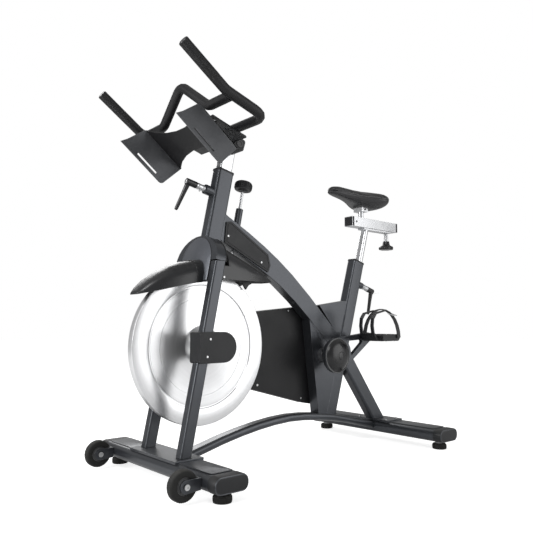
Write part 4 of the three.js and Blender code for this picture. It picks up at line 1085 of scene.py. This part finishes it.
def capBars(s):
    mid = s["bottom"] + s["height"] / 2
    a, b = s["seams"]
    skin = s["skin"]
    stations = [(a, 0.1), (a + 0.5, skin), (b - 4, skin), (b - 1.6, -0.4), (b - 0.4, -2.2), (b, -4.5)]
    half, top = s["treadHalf"], s["treadTop"]
    for name, x in s["bars"].items():
        for side, sign in (("Left", -1), ("Right", 1)):
            loops = []
            for y, grow in stations:
                loop = roundedLoop(s["width"] + 2 * grow, s["height"] + 2 * grow,
                                   s["corner"] + min(grow, 0.5) * 0.9)
                loops.append([spot(x + u, sign * y, mid + v) for u, v in loop])
            cap = faceOut(skinned(name + side + "BarCap", loops))
            finishPiece(cap, "frame", "mouldedBlack", (), 30)

            y0, y1 = s["tread"][name]
            plan = roundedLoop(2 * half, y1 - y0, 7, 6)
            loops = [[spot(x + u * (half + grow) / half, sign * (y0 + y1) / 2 + v * (1 + grow / 60), z)
                      for u, v in plan] for z, grow in ((top - 1.2, 0), (top - 0.3, 0), (top, -0.6))]
            plate = faceOut(skinned(name + side + "TreadPlate", loops))
            finishPiece(plate, "frame", "framePaint", (), 30)


capBars(barEndSet)
print("foot bars dressed")

# Screws and bolts on the frame.
screwSet = {
    "coverScrews": {"nodes": ("beam_cover_left", "beam_cover_right"),
                    "places": ((192, 684), (323, 613)), "radius": 2.9, "height": 1.4},
    "guardScrews": {"nodes": ("belt_guard_inner", "belt_guard_outer"),
                    "places": ((481, 465), (346, 228), (537, 172)), "radius": 3.2, "height": 1.6},
    "axleBlockScrews": {"nodes": ("left_axle_block", "right_axle_block"),
                        "places": ((63, 380), (53, 333)), "radius": 3.0, "height": 1.5},
}
plateBoltSet = {"x": 914, "z": 74, "reach": (30, 60), "radius": 4.6, "height": 2.6}


def nodeTree(node):
    mesh = nodes[node].data
    return BVHTree.FromPolygons([v.co for v in mesh.vertices], [tuple(f.vertices) for f in mesh.polygons])


# Where a ray from outside first meets a node, and the surface's facing there.
def surfaceAt(node, x, z, side):
    place, normal, index, reach = nodeTree(node).ray_cast(spot(x, side * 400, z), Vector((0, -side, 0)))
    return (place, normal) if place else None


def placeScrews(sets):
    for name, s in sets.items():
        found = []
        for x, z in s["places"]:
            for node, side in zip(s["nodes"], (-1, 1)):
                got = surfaceAt(node, x, z, side)
                if got:
                    found.append((got[0], (0, side, 0)))
        addScrews(name, "frame", found, s["radius"], s["height"], "zincScrew")


def boltPlate(s):
    u, v = s["reach"]
    found = [(spot(s["x"] + a, b, s["z"]), (0, 0, 1)) for a, b in ((-u, v), (u, v), (-u, -v), (u, -v))]
    addScrews("basePlateBolts", "frame", found, s["radius"], s["height"], "zincScrew")


placeScrews(screwSet)
boltPlate(plateBoltSet)
print("screws placed")

# Crank domes with a rim ring.
domeSet = {"x": 600, "z": 316, "outer": 87.3, "rim": 58}


def makeDomes(s):
    for side, sign in (("left", -1), ("right", 1)):
        base = spot(s["x"], sign * s["outer"], s["z"])
        r = s["rim"]
        profile = [(0, 0), (r - 0.4, 0), (r, 0.6), (r, 2.2), (r - 0.8, 3.2), (r - 3.4, 3.4), (r - 4.2, 2.4),
                   (r - 5.2, 2.4), (r - 6, 3.6), (r - 8, 6.4), (r - 12, 9.6), (r - 18, 12.8), (r - 26, 15.4),
                   (r - 34, 16.9), (13.6, 17.8), (12.8, 17.2), (12, 17.0), (11.2, 17.8), (0, 18.8)]
        dome = turnedPiece(side + "CrankDome", profile, base, (0, sign, 0), 96)
        finishPiece(dome, "crankset", "glossBlack", (side + "_crank_cap",), 24)
        repaint(dome, "hubGrey", lambda c: math.hypot(c.x - base.x, c.z - base.z) > 0.0542)


makeDomes(domeSet)

# Pedals: tread ribs, spindle ends, strap buckle.
pedalSet = {
    "inner": 95, "outer": 188, "thick": 22, "strapRise": 98, "buckleAngle": 52,
    "treadRows": (-37.5, -8, 0, 8, 37.5), "treadCount": 14,
    "sides": {"left": (-1, 759.75, 374.14), "right": (1, 440.25, 257.86)},
}


def dressPedals(s):
    for side, (sign, x, z) in s["sides"].items():
        body = side + "_pedal_set"
        y0, y1 = sorted((sign * s["inner"], sign * s["outer"]))
        lugs = []
        for up in (-1, 1):
            for u in s["treadRows"]:
                for k in range(s["treadCount"]):
                    y = y0 + 7 + (y1 - y0 - 14) * k / (s["treadCount"] - 1)
                    place = spot(x + u, y, z + up * s["thick"] / 2)
                    lugs.append((place, Vector((0, 0, up)), Vector((1, 0, 0))))
        addLugs(side + "PedalTread", body, lugs, (2.6, 4.6, 1.8), "mouldedBlack")
        screws = [(spot(x + u, y, z + s["thick"] / 2 * up), (0, 0, up))
                  for u in (-23, 23) for y in (y0 + 5, y1 - 5) for up in (-1, 1)]
        addScrews(side + "PedalScrews", body, screws, 2.8, 1.0, "zincScrew")
        collar = turnedPiece(
            side + "SpindleCollar", [(7.2, 0), (10.4, 0), (11, 0.8), (11, 5.4), (10, 6.6), (7.2, 6.6)],
            spot(x, sign * 88, z), (0, sign, 0), 48, closed=True)
        finishPiece(collar, "crankset", "satinSilver", (), 30)
        middle = (y0 + y1) / 2
        reach = (y1 - y0) / 2 + 6
        skew = sign * 0.55
        a = math.radians(s["buckleAngle"])
        rise = s["strapRise"]
        across, above = sign * reach * math.cos(a), rise * math.sin(a)
        centre = spot(x + 6 + skew * across, middle + across, z + above)
        out = Vector((0, across / reach ** 2, above / rise ** 2)).normalized()
        along = Vector((skew * above, above, -across)).normalized()
        flat = [centre + along * u / 1000 + Vector((1, 0, 0)) * v / 1000 + out * 0.0018
                for u, v in ((-9, -10), (9, -10), (9, 10), (-9, 10))]
        bar = [centre + Vector((1, 0, 0)) * v / 1000 + out * 0.0018 for v in (-10, 10)]
        addRibs(side + "StrapBuckle", body, [flat], 1.5, "zincScrew", sides=8)
        addRibs(side + "StrapBuckleBar", body, [bar], 1.2, "zincScrew", sides=8, closed=False)


dressPedals(pedalSet)
print("cranks and pedals dressed")

# Clamp levers: silver collar, black head and handle.
leverSet = {
    "front_clamp_lever": {"axis": (-1, 0, 0.2075), "body": "front_lever", "name": "frontLever"},
    "rear_clamp_lever": {"axis": (1, 0, -0.304), "body": "rear_lever", "name": "rearLever"},
}


def dressLevers(levers):
    for node, s in levers.items():
        axis = Vector(s["axis"]).normalized()
        obj = made[node]
        reaches = [v.co.dot(axis) for v in obj.data.vertices]
        start = min(reaches)
        near = [v.co for v, r in zip(obj.data.vertices, reaches) if r < start + 0.004]
        middle = sum(near, Vector()) / len(near)
        repaint(obj, "satinSilver", lambda c: c.dot(axis) - start < 0.0308)
        rings = [ringPoints(middle + axis * (t / 1000), axis, 9.1) for t in (6, 7.6, 9.2, 22, 23.6, 25.2)]
        addRibs(s["name"] + "CollarRings", s["body"], rings, 0.55, "zincScrew")
        side = axis.cross(Vector((0, 1, 0))).normalized()
        pin = turnedPiece(s["name"] + "Pin", [(0, 8.0), (2.6, 8.0), (2.6, 13.2), (2.0, 13.8), (0, 13.9)],
                          middle + axis * 0.0155, side, 32)
        finishPiece(pin, s["body"], "zincScrew", (), 30)
        button = turnedPiece(s["name"] + "Button", [(0, -0.5), (6.4, -0.5), (6.4, 0.8), (5.4, 1.8), (0, 2.2)],
                             middle + axis * 0.0659, axis, 40)
        finishPiece(button, s["body"], "zincScrew", (), 30)


dressLevers(leverSet)
print("levers dressed")

# Sleeves at the tube tops.
sleeveSet = {
    "head": {"x0": 6, "rake": 0.2075, "top": 886, "depth": 58, "width": 38, "wall": 3.4},
    "seat": {"x0": 605.6, "rake": 0.304, "top": 650, "depth": 54, "width": 38, "wall": 3.0},
}


def makeSleeves(sleeves):
    for name, s in sleeves.items():
        upward = Vector((s["rake"], 0, 1)).normalized()
        fore = Vector((upward.z, 0, -upward.x))
        top = spot(s["x0"] + s["rake"] * s["top"], 0, s["top"])
        wall = s["wall"]
        loops = []
        for up, grow in ((-5, 0.1), (-4.6, 0.4), (0.2, 0.4), (1.2, -0.2), (1.6, -wall), (-3, -wall)):
            loop = roundedLoop(s["depth"] + 2 * grow, s["width"] + 2 * grow, max(2.0, 6 + grow), 6)
            loops.append([top + upward * up / 1000 + fore * u / 1000 + Vector((0, v / 1000, 0))
                          for u, v in loop])
        sleeve = faceOut(skinned(name + "Sleeve", loops, ring=True))
        finishPiece(sleeve, "frame", "mouldedBlack", (), 30)


makeSleeves(sleeveSet)

# Bars: end plugs and grip collars.
barSet = {"tip": (-107, 1122), "bend": (27, 1030), "half": 228, "radius": 14.5, "collars": (9, 128)}


def dressBars(s):
    (x1, z1), (x0, z0) = s["tip"], s["bend"]
    axis = Vector((x1 - x0, 0, z1 - z0)).normalized()
    for side, sign in (("left", -1), ("right", 1)):
        tip = spot(x1, sign * s["half"], z1)
        r = s["radius"]
        profile = [(0, -3), (r - 0.9, -3), (r - 0.9, 0.2), (r - 1.6, 1.1), (r - 3.4, 1.7), (r - 4.2, 1.2),
                   (0, 1.0)]
        plug = turnedPiece(side + "BarPlug", profile, tip, axis, 48)
        finishPiece(plug, "bars", "glossBlack", (), 30)
        rings = [ringPoints(tip - axis * ((2.5 + 2.6 * k) / 1000), axis, r - 0.05) for k in range(46)]
        addRibs(side + "GripRings", "bars", rings, 0.34, "barRubber", sides=5)


dressBars(barSet)

# Cradle and clamp repaints: the cradle's web is painted near black as painted shade, and the bar's bare
# middle by the clamp is moulded black.
shadeAndTrimSet = {"web": 0.1415, "bare": 0.116, "bareTop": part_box("head_clamp")[1].z + 0.022}
# Painted shade: the web between the cradle's wings is painted near black, as if in the shade under the bar.
repaint(made["accessory_cradle"], "guardBlackAndShade", lambda c: abs(c.y) < shadeAndTrimSet["web"])
repaint(made["handlebar"], "mouldedBlack", lambda c: abs(c.y) < shadeAndTrimSet["bare"] and c.z < shadeAndTrimSet["bareTop"])

clampSet = {"z": 963, "x0": 6, "rake": 0.2075, "half": 60, "cap": 12.5}


def dressClamp(s):
    x = s["x0"] + s["rake"] * s["z"]
    for side, sign in (("left", -1), ("right", 1)):
        base = spot(x, sign * s["half"], s["z"])
        r = s["cap"]
        profile = [(0, -0.5), (r, -0.5), (r, 0.8), (r - 1.2, 1.9), (6.4, 1.9), (5.6, 0.6), (0, 0.6)]
        cap = turnedPiece(side + "ClampCap", profile, base, (0, sign, 0), 56)
        finishPiece(cap, "bars", "glossBlack", (), 30)


dressClamp(clampSet)

# Fork crown: a pale plate inside the arch, with a dark line round it.
crownSet = {
    "x0": -16, "rake": 0.2053, "top": 597, "face": 17, "half": 76.0, "rise": 74.0, "drop": 58,
    "slot": 19, "slotTop": -7, "thick": 0.9, "line": 1.1,
    "rear": {"half": 105.2, "rise": 79.4, "out": -34.0, "radius": 1.3, "sides": (range(20), range(29, 49))},
}


def faceCrown(s):
    up = Vector((s["rake"], 0, 1)).normalized()
    fore = Vector((-up.z, 0, up.x))
    foot = spot(s["x0"] + s["rake"] * s["top"], 0, s["top"])

    def place(y, h, out):
        return foot + Vector((0, y / 1000, 0)) + up * h / 1000 + fore * (s["face"] + out) / 1000

    def arch(half, rise, steps=range(49)):
        return [(half * math.cos(math.pi * k / 48), rise * math.sin(math.pi * k / 48)) for k in steps]

    half, drop, slot, slotTop = s["half"], s["drop"], s["slot"], s["slotTop"]
    outer = [(half, -drop)] + arch(half, s["rise"])
    outer += [(-half, -drop), (-slot, -drop), (-slot, slotTop), (slot, slotTop), (slot, -drop)]
    loops = [[place(y * 0.992, h, out) for y, h in outer] for out in (0.1, s["thick"] - 0.3)]
    loops.append([place(y * 0.985, h * 0.992, s["thick"]) for y, h in outer])
    plate = faceOut(skinned("crownPlate", loops))
    finishPiece(plate, "frame", "plateGrey", (), 30)
    line = [place(half + 0.6, -drop + drop * k / 9, 0.2) for k in range(9)]
    line += [place(y, h, 0.2) for y, h in arch(half + 0.6, s["rise"] + 0.8)]
    line += [place(-half - 0.6, -drop * k / 9, 0.2) for k in range(1, 10)]
    addRibs("crownLine", "frame", [line], s["line"], "mouldedBlack", sides=8, closed=False)
    rear = s["rear"]
    seams = [[place(y, h + 0.3, rear["out"]) for y, h in arch(rear["half"], rear["rise"], side)]
             for side in rear["sides"]]
    addRibs("crownRearSeam", "frame", seams, rear["radius"], "mouldedBlack", sides=8, closed=False)


faceCrown(crownSet)

# Fender rims and screws.
fenderSet = {
    "rim": {"x": 60, "low": 536, "high": 602, "half": 58, "radius": 1.3},
    "screw": {"x": 152, "z": 556, "radius": 3.0, "height": 1.5},
}


def rimFenders(s):
    r = s["rim"]
    chain = []
    for k in range(33):
        a = math.pi * k / 32
        spread = math.copysign(abs(math.cos(a)) ** 0.7, math.cos(a))
        chain.append(spot(r["x"], r["half"] * spread, r["low"] + (r["high"] - r["low"]) * math.sin(a) ** 0.7))
    addRibs("frontFenderRim", "frame", [chain], r["radius"], "mouldedBlack", sides=8, closed=False)
    screw = s["screw"]
    found = [surfaceAt("rear_fender", screw["x"], screw["z"], side) for side in (-1, 1)]
    addScrews("fenderScrews", "frame", [got for got in found if got], screw["radius"], screw["height"],
              "zincScrew")


rimFenders(fenderSet)

# Rail ends.
railSet = {
    "front": 765, "rear": 1033, "half": 20, "bottom": 780, "top": 815, "underside": 0.1,
    "screws": ((787, 20, 797.5), (835, 21, 848)), "screwRadius": 3.6, "screwHeight": 1.4,
}


# The caps keep off the post's plate, which the rail's underside slides on.
def capRail(s):
    mid = (s["bottom"] + s["top"]) / 2
    floor = s["bottom"] + s["underside"]
    for name, x, sign in (("front", s["front"], -1), ("rear", s["rear"], 1)):
        loops = []
        for along, grow in ((-9, 0.35), (-8.6, 0.8), (-1.8, 0.8), (-0.7, 0.1), (0, -1.6)):
            loop = roundedLoop(2 * s["half"] + 2 * grow, s["top"] - s["bottom"] + 2 * grow, 3.2, 5)
            loops.append([spot(x + sign * along, u, max(mid + v, floor)) for u, v in loop])
        cap = faceOut(skinned(name + "RailCap", loops))
        finishPiece(cap, "saddle_unit", "mouldedBlack", (), 30)
    screws = [(spot(x, side * y, z), (0, side, 0)) for x, y, z in s["screws"] for side in (-1, 1)]
    addScrews("railScrews", "saddle_unit", screws, s["screwRadius"], s["screwHeight"], "darkScrew")


capRail(railSet)
print("bars, sleeves and rail dressed")

# Beam covers: a raised border inside the edge.
borderSet = {"inset": 6.5, "radius": 1.1}


def borderCovers(s):
    for node, name in (("beam_cover_left", "coverBorderLeft"), ("beam_cover_right", "coverBorderRight")):
        work = bmesh.new()
        work.from_mesh(nodes[node].data)
        joinFaces(work)
        sides = [f for f in work.faces if abs(f.normal.y) > 0.98]
        outside = max(abs(f.calc_center_median().y) for f in sides)
        face = max((f for f in sides if abs(abs(f.calc_center_median().y) - outside) < 0.0006),
                   key=lambda f: f.calc_area())
        loop = [v.co.copy() for v in face.verts]
        facing = face.normal.copy()
        chain = []
        for k, here in enumerate(loop):
            before, after = loop[k - 1], loop[(k + 1) % len(loop)]
            a = (here - before).normalized()
            b = (after - here).normalized()
            inward = facing.cross(a) + facing.cross(b)
            if inward.length < 1e-6:
                continue
            inward.normalize()
            lean = max(0.5, inward.dot(facing.cross(a)))
            chain.append(here + inward * s["inset"] / 1000 / lean)
        work.free()
        addRibs(name, "frame", [chain], s["radius"], "mouldedBlack", sides=8)


borderCovers(borderSet)
